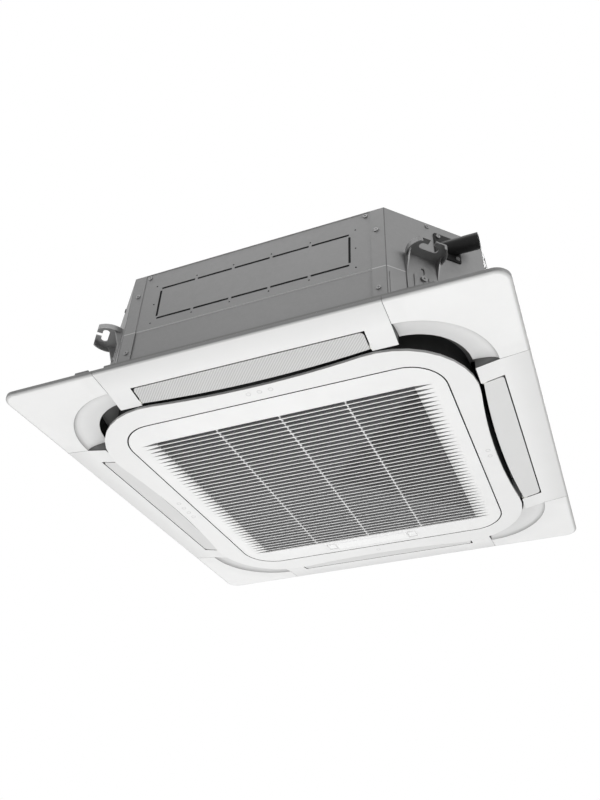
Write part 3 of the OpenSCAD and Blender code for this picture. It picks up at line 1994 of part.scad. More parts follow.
// Rocking latch: pressing its far end draws the nose off its ledge
module latch(sx) {
  x = sx * (strip_w - latch_w) / 2;
  y0 = strip_y0 + latch_edge_gap;
  y1 = strip_y0 + latch_d - latch_edge_gap;
  pivot_height = intake_z + latch_pivot_rise;
  nose_z = catch_z + catch_t + latch_nose_gap;
  color([0.9, 0.9, 0.89]) hung() {
    translate([x - latch_w / 2, y0, intake_z])
      cube([latch_w, y1 - y0, latch_t]);
    translate([x - latch_w / 2, strip_y0 + latch_pivot_in, pivot_height])
      rod(latch_w, latch_lug_r - latch_edge_gap);
    translate([x - latch_w / 2 - latch_pin_len, strip_y0 + latch_pivot_in, pivot_height])
      rotate([0, 90, 0])
        cylinder(latch_w + 2 * latch_pin_len, r = latch_pin_r, $fn = small_fn);
    translate([x - catch_w / 2, y1 - latch_arm_t, intake_z])
      cube([catch_w, latch_arm_t, nose_z + latch_nose_h - intake_z]);
    translate([x - catch_w / 2, y1 - latch_arm_t, nose_z])
      cube([catch_w, latch_arm_t + latch_nose_out, latch_nose_h]);
  }
}

module latch_left() {
  latch(-1);
}

module latch_right() {
  latch(1);
}

module receiver_strip() {
  half = strip_w / 2 - latch_w - latch_edge_gap - latch_lug_t - strip_seam;
  flange_z = intake_z + grille_t + clear;
  color([0.9, 0.9, 0.89]) hung()
    difference() {
      union() {
        translate([-half, strip_y0, intake_z])
          cube([2 * half, strip_d, grille_t + 2 * clear]);
        translate([-half, strip_y0 - strip_flange, flange_z])
          cube([2 * half, strip_d + 2 * strip_flange, strip_flange_t]);
        translate([lens_x, button_y, intake_z - lens_proud])
          cylinder(grille_t, d = lens_d);
      }
      translate([button_x, button_y, intake_z - over])
        cylinder(2 * grille_t + 2 * over, d = button_d + 2 * fit);
    }
}

module manual_button() {
  z1 = intake_z + grille_t + clear + strip_flange_t + clear;
  color([0.85, 0.85, 0.84]) hung()
    translate([button_x, button_y, 0]) {
      post(intake_z, z1 - intake_z + over, button_d / 2);
      post(z1, strip_flange_t, button_flange_d / 2);
    }
}

top_plate();
side_panel_front();
side_panel_rear();
side_panel_left();
side_panel_right();
corner_panel_front_left();
corner_panel_front_right();
corner_panel_rear_left();
corner_panel_rear_right();
casing_fasteners();
hanger_bracket_front_left();
hanger_bracket_front_right();
hanger_bracket_rear_left();
hanger_bracket_rear_right();
foam_liner();
drain_pan();
drain_plug();
coil_fins();
coil_end_plates();
coil_tubes();
gas_pipe();
liquid_pipe();
flare_nuts();
fan_motor();
motor_rubbers();
motor_shaft();
turbo_fan();
fan_nut();
bell_mouth();
control_box();
control_box_cover();
control_board();
terminal_block();
drain_pump();
float_switch();
float();
drain_hose();
drain_outlet();
duct_liner();
panel_frame();
panel_box();
panel_gasket();
corner_cover_front_left();
corner_cover_front_right();
corner_cover_rear_left();
corner_cover_rear_right();
intake_frame();
flap_front();
flap_right();
flap_rear();
flap_left();
flap_motors();
flap_bushes();
intake_grille();
air_filter();
latch_left();
latch_right();
receiver_strip();
manual_button();
panel_bolts();
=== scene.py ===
"""Looks of a ceiling cassette air conditioner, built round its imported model.

The casing hangs by four brackets, and the decorative panel below it carries
four air flaps, four corner outlets and a hinged intake grille. Every node of
the model gets a procedural finish here, and the pieces whose shape asks for
more than the model gives are made again in finer detail.
"""

from __future__ import annotations

import json
import logging
import math
from contextlib import contextmanager
from dataclasses import dataclass
from enum import Enum
from functools import cache
from typing import Callable, Iterator, Sequence, Union

import bpy
from mathutils import Matrix, Vector


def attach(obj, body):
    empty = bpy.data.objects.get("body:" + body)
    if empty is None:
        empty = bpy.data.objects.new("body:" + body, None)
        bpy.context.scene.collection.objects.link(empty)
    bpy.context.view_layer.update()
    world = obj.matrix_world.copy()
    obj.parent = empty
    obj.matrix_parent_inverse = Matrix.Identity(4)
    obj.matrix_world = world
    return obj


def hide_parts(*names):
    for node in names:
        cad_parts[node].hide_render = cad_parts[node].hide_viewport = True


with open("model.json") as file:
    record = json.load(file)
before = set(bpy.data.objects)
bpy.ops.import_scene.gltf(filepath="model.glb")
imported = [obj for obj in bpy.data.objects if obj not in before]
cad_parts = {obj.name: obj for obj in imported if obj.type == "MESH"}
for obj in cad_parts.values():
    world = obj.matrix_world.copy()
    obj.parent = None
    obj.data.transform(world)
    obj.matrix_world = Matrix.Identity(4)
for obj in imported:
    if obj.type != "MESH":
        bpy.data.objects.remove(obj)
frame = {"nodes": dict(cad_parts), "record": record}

LOG = logging.getLogger("cassette")
MM = 0.001

Piece = bpy.types.Object
Socket = bpy.types.NodeSocket
Material = bpy.types.Material
Colour = tuple[float, float, float]
Number = Union[float, "Value"]
CornerRule = Callable[[Vector, Vector], float]

# Painted shade: the names of the mesh attributes that carry each corner's share of it, and the
# numbers that shape it on steep faces, in a dark line and band along the rim's outer edge, and
# on walls.
STEEP_SHADE = "upright"
RECESS_SHADE = "recess"
STEEP_POWER = 0.55
RIM_POWER = 0.3
RIM_LINE = 1.1
RIM_BAND = 8.0
UPWARD = 0.3
WALL_LEAN = 0.6

MERGE_GAP = 0.00001
FLAT_ANGLE = math.radians(0.5)
EDGE_ANGLE = math.radians(35)
SMOOTH_ANGLE = math.radians(32)


class Side(Enum):
    """Sides of the unit, as the nodes' names spell them."""

    FRONT = "front"
    RIGHT = "right"
    REAR = "rear"
    LEFT = "left"


class Corner(Enum):
    """Corners of the unit, as the nodes' names spell them."""

    FRONT_LEFT = "front_left"
    FRONT_RIGHT = "front_right"
    REAR_LEFT = "rear_left"
    REAR_RIGHT = "rear_right"


# Shader maths


def math_method(operation: str, turned: bool = False) -> Callable[["Value", Number], "Value"]:
    """Makes a method of Value that adds one Math node.

    Args:
        operation: The node's operation.
        turned: Whether the value is the node's second input.

    Returns:
        The method.
    """

    def method(self: "Value", other: Number) -> "Value":
        """Takes the value and another one through the node."""
        operands = (other, self) if turned else (self, other)
        return self.math(operation, *operands)

    return method


class Value:
    """A node's output that can stand in an arithmetic expression."""

    __add__ = math_method("ADD")
    __radd__ = math_method("ADD", turned=True)
    __sub__ = math_method("SUBTRACT")
    __rsub__ = math_method("SUBTRACT", turned=True)
    __mul__ = math_method("MULTIPLY")
    __rmul__ = math_method("MULTIPLY", turned=True)
    __truediv__ = math_method("DIVIDE")
    __rtruediv__ = math_method("DIVIDE", turned=True)
    __gt__ = math_method("GREATER_THAN")
    __lt__ = math_method("LESS_THAN")
    least = math_method("MINIMUM")
    most = math_method("MAXIMUM")

    def __init__(self, graph: "Graph", socket: Socket) -> None:
        """Wraps a socket.

        Args:
            graph: The node graph that the socket is part of.
            socket: The output to wrap.
        """
        self.graph = graph
        self.socket = socket

    def math(self, operation: str, *operands: Number) -> "Value":
        """Adds one Math node.

        Args:
            operation: The node's operation.
            operands: Its inputs in order.

        Returns:
            The node's output.
        """
        links = {i: o for i, o in enumerate(operands)}
        return self.graph.value("ShaderNodeMath", {"operation": operation}, links)

    def __abs__(self) -> "Value":
        """The value without its sign."""
        return self.math("ABSOLUTE", self)

    def ramp(self, low: float, high: float) -> "Value":
        """Maps low to zero and high to one, smoothly and held at both ends.

        Args:
            low: The value that gives zero.
            high: The value that gives one.

        Returns:
            The mapped value.
        """
        return self.graph.value(
            "ShaderNodeMapRange",
            {"interpolation_type": "SMOOTHSTEP"},
            {0: self, 1: low, 2: high, 3: 0.0, 4: 1.0},
        )

    def saw(self, pitch: float) -> "Value":
        """A triangle wave of height one that repeats each pitch."""
        return abs(self.math("FRACT", self / pitch) * 2.0 - 1.0)


class Graph:
    """A material's node tree with one Principled shader."""

    def __init__(self, name: str) -> None:
        """Starts an empty material.

        Args:
            name: The material's name.
        """
        self.material = bpy.data.materials.new(name)
        self.material.use_nodes = True
        self.tree = self.material.node_tree
        self.tree.nodes.clear()
        self.output = self.node("ShaderNodeOutputMaterial")
        self.shader = self.node("ShaderNodeBsdfPrincipled")
        self.tree.links.new(self.shader.outputs[0], self.output.inputs[0])

    def node(
        self,
        kind: str,
        settings: dict[str, object] | None = None,
        inputs: dict[int | str, object] | None = None,
    ) -> bpy.types.Node:
        """Adds a node.

        Args:
            kind: The node's type.
            settings: Its properties, set before its sockets.
            inputs: Values or links for its sockets, by name or number.

        Returns:
            The new node.
        """
        made = self.tree.nodes.new(kind)
        for key, setting in (settings or {}).items():
            setattr(made, key, setting)
        for key, content in (inputs or {}).items():
            self.feed(made.inputs[key], content)
        return made

    def feed(self, socket: Socket, content: object) -> None:
        """Links or sets one input.

        Args:
            socket: The input.
            content: A Value, an output socket, a number or a tuple.
        """
        if isinstance(content, Value):
            self.tree.links.new(content.socket, socket)
        elif isinstance(content, Socket):
            self.tree.links.new(content, socket)
        elif socket.type == "RGBA":
            socket.default_value = (*content, 1.0)
        else:
            socket.default_value = content

    def value(self, kind: str, *rest: dict | None, output: int | str = 0) -> Value:
        """Adds a node, as node does, and wraps one of its outputs."""
        return Value(self, self.node(kind, *rest).outputs[output])

    def seen_rays(self) -> Value:
        """Tells the rays that look at the background from those it lights by.

        Returns:
            One for the former and zero for the latter.
        """
        path = self.node("ShaderNodeLightPath")
        kinds = ("Camera", "Glossy", "Transmission")
        camera, glossy, through = (Value(self, path.outputs[f"Is {k} Ray"]) for k in kinds)
        return (camera + glossy + through).least(1.0)

    def place(self) -> Socket:
        """The point on the object, in metres."""
        return self.node("ShaderNodeTexCoord").outputs["Object"]

    def axes(self) -> tuple[Value, Value, Value]:
        """The point's X, Y and Z in millimetres."""
        split = self.node("ShaderNodeSeparateXYZ", None, {0: self.place()})
        return tuple(Value(self, split.outputs[i]) * (1 / MM) for i in range(3))

    def attribute(self, name: str) -> Value:
        """A number that the piece's own mesh carries, or zero where it has none."""
        return self.value("ShaderNodeAttribute", {"attribute_name": name}, output="Fac")

    def noise(
        self, size: float, detail: float = 2.0, stretch: Sequence[float] = (1, 1, 1)
    ) -> Value:
        """Cloudy noise from zero to one.

        Args:
            size: The size of its patches in millimetres.
            detail: How many finer layers it has.
            stretch: How much longer the patches are along each axis.

        Returns:
            The noise.
        """
        scale = tuple(1 / (size * MM * s) for s in stretch)
        where = self.node("ShaderNodeMapping", None, {0: self.place(), "Scale": scale})
        return self.value(
            "ShaderNodeTexNoise",
            None,
            {"Vector": where.outputs[0], "Scale": 1.0, "Detail": detail},
        )

    def cells(self, size: float, feature: str = "F1", output: str = "Distance") -> Value:
        """Voronoi cells.

        Args:
            size: The size of a cell in millimetres.
            feature: F1, F2 or DISTANCE_TO_EDGE.
            output: Distance, or Color for one value a cell.

        Returns:
            The distance in the cell, or the cell's own value.
        """
        made = self.node(
            "ShaderNodeTexVoronoi",
            {"feature": feature},
            {"Vector": self.place(), "Scale": 1 / (size * MM)},
        )
        if output == "Color":
            split = self.node("ShaderNodeSeparateColor", None, {0: made.outputs["Color"]})
            return Value(self, split.outputs[0])
        return Value(self, made.outputs[output])

    def blend(self, share: Number, first: object, second: object) -> Socket:
        """A colour between two colours.

        Args:
            share: How much of the second colour.
            first: A colour or a colour's socket.
            second: The same.

        Returns:
            The mixed colour.
        """
        made = self.node("ShaderNodeMix", {"data_type": "RGBA"})
        self.feed(made.inputs[0], share)
        self.feed(made.inputs[6], first)
        self.feed(made.inputs[7], second)
        return made.outputs[2]

    def bump(self, height: Value, depth: float) -> None:
        """Feeds the shader's normal from a height.

        Args:
            height: The height from zero to one.
            depth: What a height of one stands for, in millimetres.
        """
        made = self.node("ShaderNodeBump", None, {"Height": height, "Distance": depth * MM})
        self.feed(self.shader.inputs["Normal"], made.outputs[0])

    def surface(self, **sockets: object) -> None:
        """Sets or links the shader's sockets, whose names take spaces for underscores."""
        for key, content in sockets.items():
            self.feed(self.shader.inputs[key.replace("_", " ")], content)


class SurroundGraph(Graph):
    """The node tree of the scene's surround."""

    def __init__(self, name: str) -> None:
        """Starts an empty surround and gives it to the scene.

        Args:
            name: The surround's name.
        """
        self.world = bpy.data.worlds.new(name)
        bpy.context.scene.world = self.world
        self.world.use_nodes = True
        self.tree = self.world.node_tree
        self.tree.nodes.clear()


# Finishes


@dataclass(frozen=True)
class Finish:
    """A finish of the unit, with its material's name and its main colour."""

    name: str
    colour: Colour

    def tint(self, factor: float) -> Colour:
        """The main colour made lighter or darker by a factor."""
        return tuple(min(1.0, c * factor) for c in self.colour)

    def paint(self, g: Graph) -> None:
        """Builds the finish's nodes.

        Args:
            g: The material's graph.
        """
        raise NotImplementedError

    @cache
    def material(self) -> Material:
        """Makes the finish's material at its first use, and keeps it.

        Returns:
            The material.
        """
        g = Graph(self.name)
        self.paint(g)
        return g.material


@dataclass(frozen=True)
class LowShade:
    """Painted shade: a darker tone for what lies below a height, between two heights in
    millimetres.
    """

    start: float
    full: float
    tone: float

    def share(self, graph: Graph) -> Value:
        """How much of the painted shade a point gets."""
        return 1 - graph.axes()[2].ramp(self.full, self.start)


@dataclass(frozen=True)
class MouldedPlastic(Finish):
    """Satin moulded plastic with a fine spark-eroded grain, faint flow marks and painted shade
    on steep, recessed and low parts.
    """

    roughness: float = 0.42
    grain: float = 0.35
    grain_depth: float = 0.012
    flow: float = 60.0
    dust: float = 9.0
    mottle: float = 0.02
    upright_tone: float = 1.0
    recess_tone: float = 1.0
    specular: float = 0.5
    shelter: LowShade | None = None

    def paint(self, g: Graph) -> None:
        """Paints the grain and flow marks, and the shade of steep, deep and low parts.

        Args:
            g: The material's graph.
        """
        fine = g.noise(self.grain, 3.0)
        flow = g.noise(self.flow, 3.0)
        dust = g.noise(self.dust, 4.0)
        tone = flow.ramp(0.3, 0.7) * 0.7 + dust.ramp(0.35, 0.75) * 0.3
        colour = g.blend(tone, self.tint(1 - self.mottle), self.colour)
        # Painted shade: steep faces, marked recesses and what lies below a height take darker
        # tints of the colour.
        if self.upright_tone < 1:
            steep = g.attribute(STEEP_SHADE)
            colour = g.blend(steep, colour, self.tint(self.upright_tone))
        if self.recess_tone < 1:
            deep = g.attribute(RECESS_SHADE)
            colour = g.blend(deep, colour, self.tint(self.recess_tone))
        if self.shelter:
            share = self.shelter.share(g)
            colour = g.blend(share, colour, self.tint(self.shelter.tone))
        g.surface(
            Base_Color=colour,
            Roughness=self.roughness + (fine - 0.5) * 0.12 + (dust - 0.5) * 0.06,
            Specular_IOR_Level=self.specular,
        )
        g.bump(fine, self.grain_depth)


@dataclass(frozen=True)
class SlattedPlastic(Finish):
    """The grille's plastic, with the shade that gathers between its slats.

    Only a thin line along each slat's underside stays light, as do the ribs
    that cross the slats. All lengths are in millimetres.
    """

    pitch: float = 13.08
    field: tuple[float, float] = (265.2, 265.9)
    tip: float = 37.0
    line_half: float = 1.2
    face_z: float = -202.0
    back_z: float = -193.5
    ribs: tuple[float, ...] = (-132.6, 0.0, 132.6)
    rib_half: float = 1.7
    rib_bead: float = 1.4
    rib_shade: float = 0.6
    flank_tone: float = 0.1
    wall_tone: float = 0.62
    tip_tone: float = 0.2
    seam_tone: float = 0.06
    line_soft: float = 0.3
    depths: tuple[float, float] = (0.1, 1.2)
    grain: float = 0.35
    grain_depth: float = 0.012
    flow: float = 60.0
    roughness: float = 0.42

    def paint(self, g: Graph) -> None:
        """Paints the slats' shade, and leaves each slat's line and the ribs light.

        Args:
            g: The material's graph.
        """
        x, y, z = g.axes()
        fine = g.noise(self.grain, 3.0)
        flow = g.noise(self.flow, 3.0).ramp(0.3, 0.7)
        rows = abs(y) < self.field[1]
        slats = (abs(x) < self.field[0]) * rows
        tips = (abs(x) < self.field[0] + self.tip) * rows * (1 - slats)
        rib = sum(abs(x - place) < self.rib_half for place in self.ribs)
        lower = z < self.back_z
        deep = z.ramp(*(self.face_z + d for d in self.depths)) * lower
        off_line = y.saw(self.pitch) * (self.pitch / 2) - rib * self.rib_bead
        low, high = self.line_half - self.line_soft, self.line_half + self.line_soft
        flank = off_line.ramp(low, high) * (1 - deep)
        colour = g.blend(flow, self.tint(0.97), self.colour)
        # Painted shade: the slats' flanks, their deep walls, the pointed tips and the seam
        # along the grille's outer wall take darker tints.
        for share, tone in (
            (flank * slats * lower * (1 - rib * (1 - self.rib_shade)), self.flank_tone),
            (deep * slats * (1 - rib), self.wall_tone),
            (deep * tips, self.tip_tone),
            (g.attribute(RECESS_SHADE), self.seam_tone),
        ):
            colour = g.blend(share, colour, self.tint(tone))
        g.surface(Base_Color=colour, Roughness=self.roughness + (fine - 0.5) * 0.12)
        g.bump(fine, self.grain_depth)


@dataclass(frozen=True)
class HatchedPlastic(Finish):
    """Moulded plastic whose face carries fine slanting ribs."""

    pitch: float = 5.8
    slant: float = 1.0
    rib_depth: float = 0.12
    roughness: float = 0.5
    contrast: float = 0.15

    def paint(self, g: Graph) -> None:
        """Paints the slanting ribs and raises them.

        Args:
            g: The material's graph.
        """
        x, y, _ = g.axes()
        rib = (x + y * self.slant).saw(self.pitch)
        flow = g.noise(45.0, 2.0)
        fine = g.noise(0.3, 2.0)
        tone = rib.ramp(0.2, 0.8) * 0.8 + flow * 0.2
        low, high = 1 - self.contrast, 1 + self.contrast
        g.surface(
            Base_Color=g.blend(tone, self.tint(low), self.tint(high)),
            Roughness=self.roughness + (fine - 0.5) * 0.15,
        )
        g.bump(rib.ramp(0.1, 0.9) + fine * 0.1, self.rib_depth)


@dataclass(frozen=True)
class ZincSheet(Finish):
    """Hot-dip galvanised sheet: a quiet spangle, rolling streaks and rubbed spots."""

    spangle: float = 9.0
    streak: float = 1.4
    cloud: float = 120.0
    contrast: float = 0.07
    metallic: float = 0.35
    roughness: float = 0.5
    crease: float | None = None
    crease_w: float = 1.1
    crease_tone: float = 1.7
    fold: tuple[float, float] = (268.3, 417.0)
    fold_w: float = 0.8
    fold_tone: float = 0.45
    slot_tone: float = 0.04

    def paint(self, g: Graph) -> None:
        """Paints the spangle, a painted highlight along the crease, and painted shade along
        the fold lines and on the walls of the cut slots.

        Args:
            g: The material's graph.
        """
        crystal = g.cells(self.spangle, output="Color")
        small = g.cells(self.spangle * 0.4, output="Color")
        streak = g.noise(self.streak, 3.0, (40.0, 40.0, 1.0))
        cloud = g.noise(self.cloud, 3.0)
        fine = g.noise(0.6, 2.0)
        tone = crystal * 0.35 + small * 0.2 + streak * 0.2 + cloud * 0.25
        colour = g.blend(
            tone, self.tint(1 - self.contrast), self.tint(1 + self.contrast)
        )
        # Painted highlight along the crease, and painted shade along the corner folds and on
        # the marked slot walls.
        if self.crease is not None:
            x, y, z = g.axes()
            near = abs(z - self.crease) < self.crease_w
            colour = g.blend(near, colour, self.tint(self.crease_tone))
            along, out = abs(x).least(abs(y)), abs(x).most(abs(y))
            fold = (abs(along - self.fold[0]) < self.fold_w) * (out > self.fold[1])
            colour = g.blend(fold, colour, self.tint(self.fold_tone))
            slot = g.attribute(RECESS_SHADE)
            colour = g.blend(slot, colour, self.tint(self.slot_tone))
        g.surface(
            Base_Color=colour,
            Metallic=self.metallic + (crystal - 0.5) * 0.1,
            Roughness=self.roughness + (crystal - 0.5) * 0.12 + (cloud - 0.5) * 0.1,
        )
        g.bump(crystal * 0.4 + fine * 0.2 + streak * 0.4, 0.01)


@dataclass(frozen=True)
class BareMetal(Finish):
    """Drawn, turned or cast metal with fine marks along one axis."""

    roughness: float = 0.34
    metallic: float = 0.9
    mark: float = 0.5
    stretch: tuple[float, float, float] = (1.0, 1.0, 30.0)
    stain: float = 11.0
    tarnish: float = 0.12
    depth: float = 0.01

    def paint(self, g: Graph) -> None:
        """Paints the drawing marks and a faint tarnish.

        Args:
            g: The material's graph.
        """
        marks = g.noise(self.mark, 3.0, self.stretch)
        stain = g.noise(self.stain, 4.0).ramp(0.4, 0.75)
        g.surface(
            Base_Color=g.blend(stain, self.colour, self.tint(1 - self.tarnish)),
            Metallic=self.metallic,
            Roughness=self.roughness + (marks - 0.5) * 0.2 + stain * 0.08,
        )
        g.bump(marks, self.depth)


@dataclass(frozen=True)
class BeadFoam(Finish):
    """Moulded or sheet foam whose beads or pores show."""

    bead: float = 3.2
    contrast: float = 0.1
    depth: float = 0.25
    roughness: float = 0.85

    def paint(self, g: Graph) -> None:
        """Paints the beads and sinks the seams between them.

        Args:
            g: The material's graph.
        """
        edge = g.cells(self.bead, "DISTANCE_TO_EDGE").ramp(0.0, 0.12)
        each = g.cells(self.bead, output="Color")
        fine = g.noise(0.5, 2.0)
        tone = edge * 0.6 + each * 0.4
        g.surface(
            Base_Color=g.blend(tone, self.tint(1 - self.contrast), self.colour),
            Roughness=self.roughness + (fine - 0.5) * 0.1,
        )
        g.bump(edge * 0.8 + fine * 0.2, self.depth)


@dataclass(frozen=True)
class FinStack(Finish):
    """Aluminium fins on edge, as upright lines on every side of the coil."""

    pitch: float = 1.8
    row: float = 24.0
    cloud: float = 40.0
    depth: float = 0.6

    def paint(self, g: Graph) -> None:
        """Paints the fins' edges, painted shade in the gaps between them, and the rows.

        Args:
            g: The material's graph.
        """
        x, y, z = g.axes()
        along = abs(x) > abs(y)
        line = x.saw(self.pitch) * (1 - along) + y.saw(self.pitch) * along
        gap = line.ramp(0.25, 0.7)
        row = z.saw(self.row).ramp(0.0, 0.12)
        cloud = g.noise(self.cloud, 2.0)
        # Painted shade: the gaps between the fins are darker than the fins' edges.
        g.surface(
            Base_Color=g.blend(gap * (0.75 + cloud * 0.25), self.tint(0.3), self.colour),
            Metallic=0.75,
            Roughness=0.4 + (cloud - 0.5) * 0.15,
        )
        g.bump(gap * 0.8 + row * 0.2, self.depth)


@dataclass(frozen=True)
class SoftRubber(Finish):
    """Matt black rubber or closed-cell seal foam."""

    pore: float = 0.8
    bloom: float = 14.0
    depth: float = 0.05
    roughness: float = 0.75

    def paint(self, g: Graph) -> None:
        """Paints the pores and a faint bloom.

        Args:
            g: The material's graph.
        """
        pores = g.cells(self.pore).ramp(0.1, 0.5)
        bloom = g.noise(self.bloom, 3.0)
        g.surface(
            Base_Color=g.blend(bloom, self.colour, self.tint(1.5)),
            Roughness=self.roughness + (bloom - 0.5) * 0.15,
        )
        g.bump(pores, self.depth)


@dataclass(frozen=True)
class CircuitBoard(Finish):
    """Solder-masked board with tracks under the lacquer."""

    track: float = 3.4
    lane: float = 22.0
    pad: float = 7.0
    tin: Colour = (0.62, 0.6, 0.52)

    def paint(self, g: Graph) -> None:
        """Paints the tracks and the solder pads.

        Args:
            g: The material's graph.
        """
        x, y, _ = g.axes()
        lane = g.noise(self.lane, 0.0).ramp(0.48, 0.52)
        across = x.saw(self.track).ramp(0.45, 0.6) * lane
        along = y.saw(self.track).ramp(0.45, 0.6) * (1 - lane)
        track = across + along
        pad = 1 - g.cells(self.pad).ramp(0.12, 0.16)
        copper = g.blend(track, self.colour, self.tint(1.7))
        g.surface(
            Base_Color=g.blend(pad, copper, self.tin),
            Roughness=0.34 + pad * 0.1,
            Metallic=pad * 0.8,
        )
        g.bump(track * 0.6 + pad * 0.4, 0.04)


@dataclass(frozen=True)
class StudioSurface(Finish):
    """Pale floor that keeps the object's shadow and shows white to the camera."""

    glow: float = 0.8

    def paint(self, g: Graph) -> None:
        """Paints the floor, and lifts it towards white where it is looked at.

        Args:
            g: The material's graph.
        """
        speck = g.noise(30.0, 3.0)
        g.surface(
            Base_Color=g.blend(speck, self.tint(0.98), self.colour),
            Roughness=0.9,
        )
        white = g.node("ShaderNodeEmission", None, {"Color": (1.0, 1.0, 1.0)})
        mixed = g.node(
            "ShaderNodeMixShader",
            None,
            {0: g.seen_rays() * self.glow, 1: g.shader.outputs[0], 2: white.outputs[0]},
        )
        g.feed(g.output.inputs[0], mixed.outputs[0])


# Painted shade: the panel's steep faces and rim edge, its outlet walls and its coves take
# darker tints.
PANEL_WHITE = MouldedPlastic(
    "panel_white", (0.83, 0.83, 0.825), upright_tone=0.26, recess_tone=0.05
)
BOX_GREY = MouldedPlastic("panel_box_grey", (0.175, 0.175, 0.174), roughness=0.55)
# Painted shade: the intake frame's steep walls, its seam round the grille and what lies below
# a height take darker tints.
FRAME_WHITE = MouldedPlastic(
    "intake_frame_white",
    (0.775, 0.775, 0.77),
    upright_tone=0.5,
    recess_tone=0.06,
    shelter=LowShade(-202.05, -202.25, 0.8),
)
GRILLE_WHITE = SlattedPlastic("grille_white", (0.8, 0.8, 0.795))
STRIP_WHITE = MouldedPlastic("strip_white", (0.85, 0.85, 0.845), roughness=0.36)
FLAP_HATCHED = HatchedPlastic("flap_hatched", (0.535, 0.535, 0.53))
FLAP_PLAIN = MouldedPlastic("flap_plain", (0.66, 0.66, 0.655), roughness=0.48)
# Painted highlight along the side panels' crease at this height, and painted shade along the
# corner folds and on the marked slot walls.
SHEET_ZINC = ZincSheet("casing_zinc", (0.235, 0.235, 0.235), crease=-46.4)
BOX_ZINC = ZincSheet("box_zinc", (0.6, 0.605, 0.61), spangle=6.0, metallic=0.6)
BRACKET_STEEL = ZincSheet(
    "bracket_steel", (0.22, 0.22, 0.22), spangle=5.0, contrast=0.12, roughness=0.48
)
# Painted light: a lighter copy of the bracket steel for the brackets on the left, where more
# light falls.
BRACKET_LIT = ZincSheet(
    "bracket_pale", (0.37, 0.37, 0.37), spangle=5.0, contrast=0.12, roughness=0.48
)
SCREW_ZINC = BareMetal("screw_zinc", (0.27, 0.27, 0.27), roughness=0.4, mark=0.4)
LINER_FOAM = BeadFoam("liner_foam", (0.02, 0.021, 0.022), bead=2.0, depth=0.2)
PAN_FOAM = BeadFoam("pan_foam", (0.8, 0.8, 0.78))
DUCT_FOAM = BeadFoam("duct_foam", (0.03, 0.03, 0.03), bead=2.4, contrast=0.25)
PLUG_RUBBER = SoftRubber("plug_rubber", (0.035, 0.035, 0.035))
MOUNT_RUBBER = SoftRubber("mount_rubber", (0.012, 0.012, 0.012))
SEAL_FOAM = SoftRubber("seal_foam", (0.014, 0.014, 0.014), pore=1.2)
HOSE_RUBBER = SoftRubber("hose_rubber", (0.025, 0.025, 0.027), pore=0.6)
FINS = FinStack("coil_fins", (0.66, 0.68, 0.7))
END_ALUMINIUM = BareMetal("end_aluminium", (0.7, 0.71, 0.72), roughness=0.38)
COPPER = BareMetal("copper", (0.72, 0.38, 0.24), roughness=0.3, tarnish=0.3)
BRASS = BareMetal("brass", (0.7, 0.52, 0.24), roughness=0.3, stretch=(1.0, 1.0, 1.0))
MOTOR_CASTING = BareMetal(
    "motor_casting", (0.6, 0.61, 0.62), roughness=0.48, mark=1.2, stretch=(1.0, 1.0, 1.0)
)
SHAFT_STEEL = BareMetal("shaft_steel", (0.62, 0.62, 0.62), roughness=0.22)
FAN_PLASTIC = MouldedPlastic("fan_plastic", (0.74, 0.77, 0.77), roughness=0.46)
BELL_PLASTIC = MouldedPlastic("bell_plastic", (0.76, 0.76, 0.7), roughness=0.44)
PUMP_PLASTIC = MouldedPlastic("pump_plastic", (0.72, 0.72, 0.66), roughness=0.4)
FLOAT_PLASTIC = MouldedPlastic("float_plastic", (0.72, 0.16, 0.02), roughness=0.4)
OUTLET_PLASTIC = MouldedPlastic(
    "outlet_plastic", (0.01, 0.01, 0.01), roughness=0.42, specular=0.2
)
BLOCK_PLASTIC = MouldedPlastic("block_plastic", (0.02, 0.02, 0.022), roughness=0.36)
FILTER_PLASTIC = MouldedPlastic("filter_plastic", (0.09, 0.093, 0.1), roughness=0.55)
BOARD = CircuitBoard("circuit_board", (0.01, 0.09, 0.03))
FLOOR = StudioSurface("floor_pale", (0.82, 0.82, 0.82))


# Modelling by hand


def deselect() -> None:
    """Leaves object mode with nothing selected."""
    if bpy.context.object and bpy.context.object.mode != "OBJECT":
        bpy.ops.object.mode_set(mode="OBJECT")
    bpy.ops.object.select_all(action="DESELECT")


def pick(obj: Piece) -> None:
    """Makes one object the only selected and the active one.

    Args:
        obj: The object.
    """
    deselect()
    obj.select_set(True)
    bpy.context.view_layer.objects.active = obj


@contextmanager
def editing(obj: Piece) -> Iterator[None]:
    """Opens one object's mesh in edit mode for the lines under it.

    Args:
        obj: The object.

    Yields:
        Once, while the mesh is open.
    """
    pick(obj)
    bpy.ops.object.mode_set(mode="EDIT")
    yield
    bpy.ops.object.mode_set(mode="OBJECT")


def settle(obj: Piece) -> None:
    """Applies an object's place, turn and scale to its mesh."""
    pick(obj)
    bpy.ops.object.transform_apply(location=True, rotation=True, scale=True)


def apply_modifier(obj: Piece, kind: str, **settings: object) -> None:
    """Adds a modifier, sets it up and applies it.

    Args:
        obj: The object that takes it.
        kind: The modifier's type.
        settings: Its properties.
    """
    pick(obj)
    modifier = obj.modifiers.new(kind.lower(), kind)
    for key, setting in settings.items():
        setattr(modifier, key, setting)
    bpy.ops.object.modifier_apply(modifier=modifier.name)


def smooth(obj: Piece) -> None:
    """Shades an object smooth except over its sharp edges."""
    pick(obj)
    bpy.ops.object.shade_smooth_by_angle(angle=SMOOTH_ANGLE)


def soften(obj: Piece, width: float, **settings: object) -> None:
    """Rounds the edges of an object by a width in millimetres."""
    kept = {"segments": 2, "limit_method": "ANGLE"} | settings
    apply_modifier(obj, "BEVEL", width=width * MM, **kept)


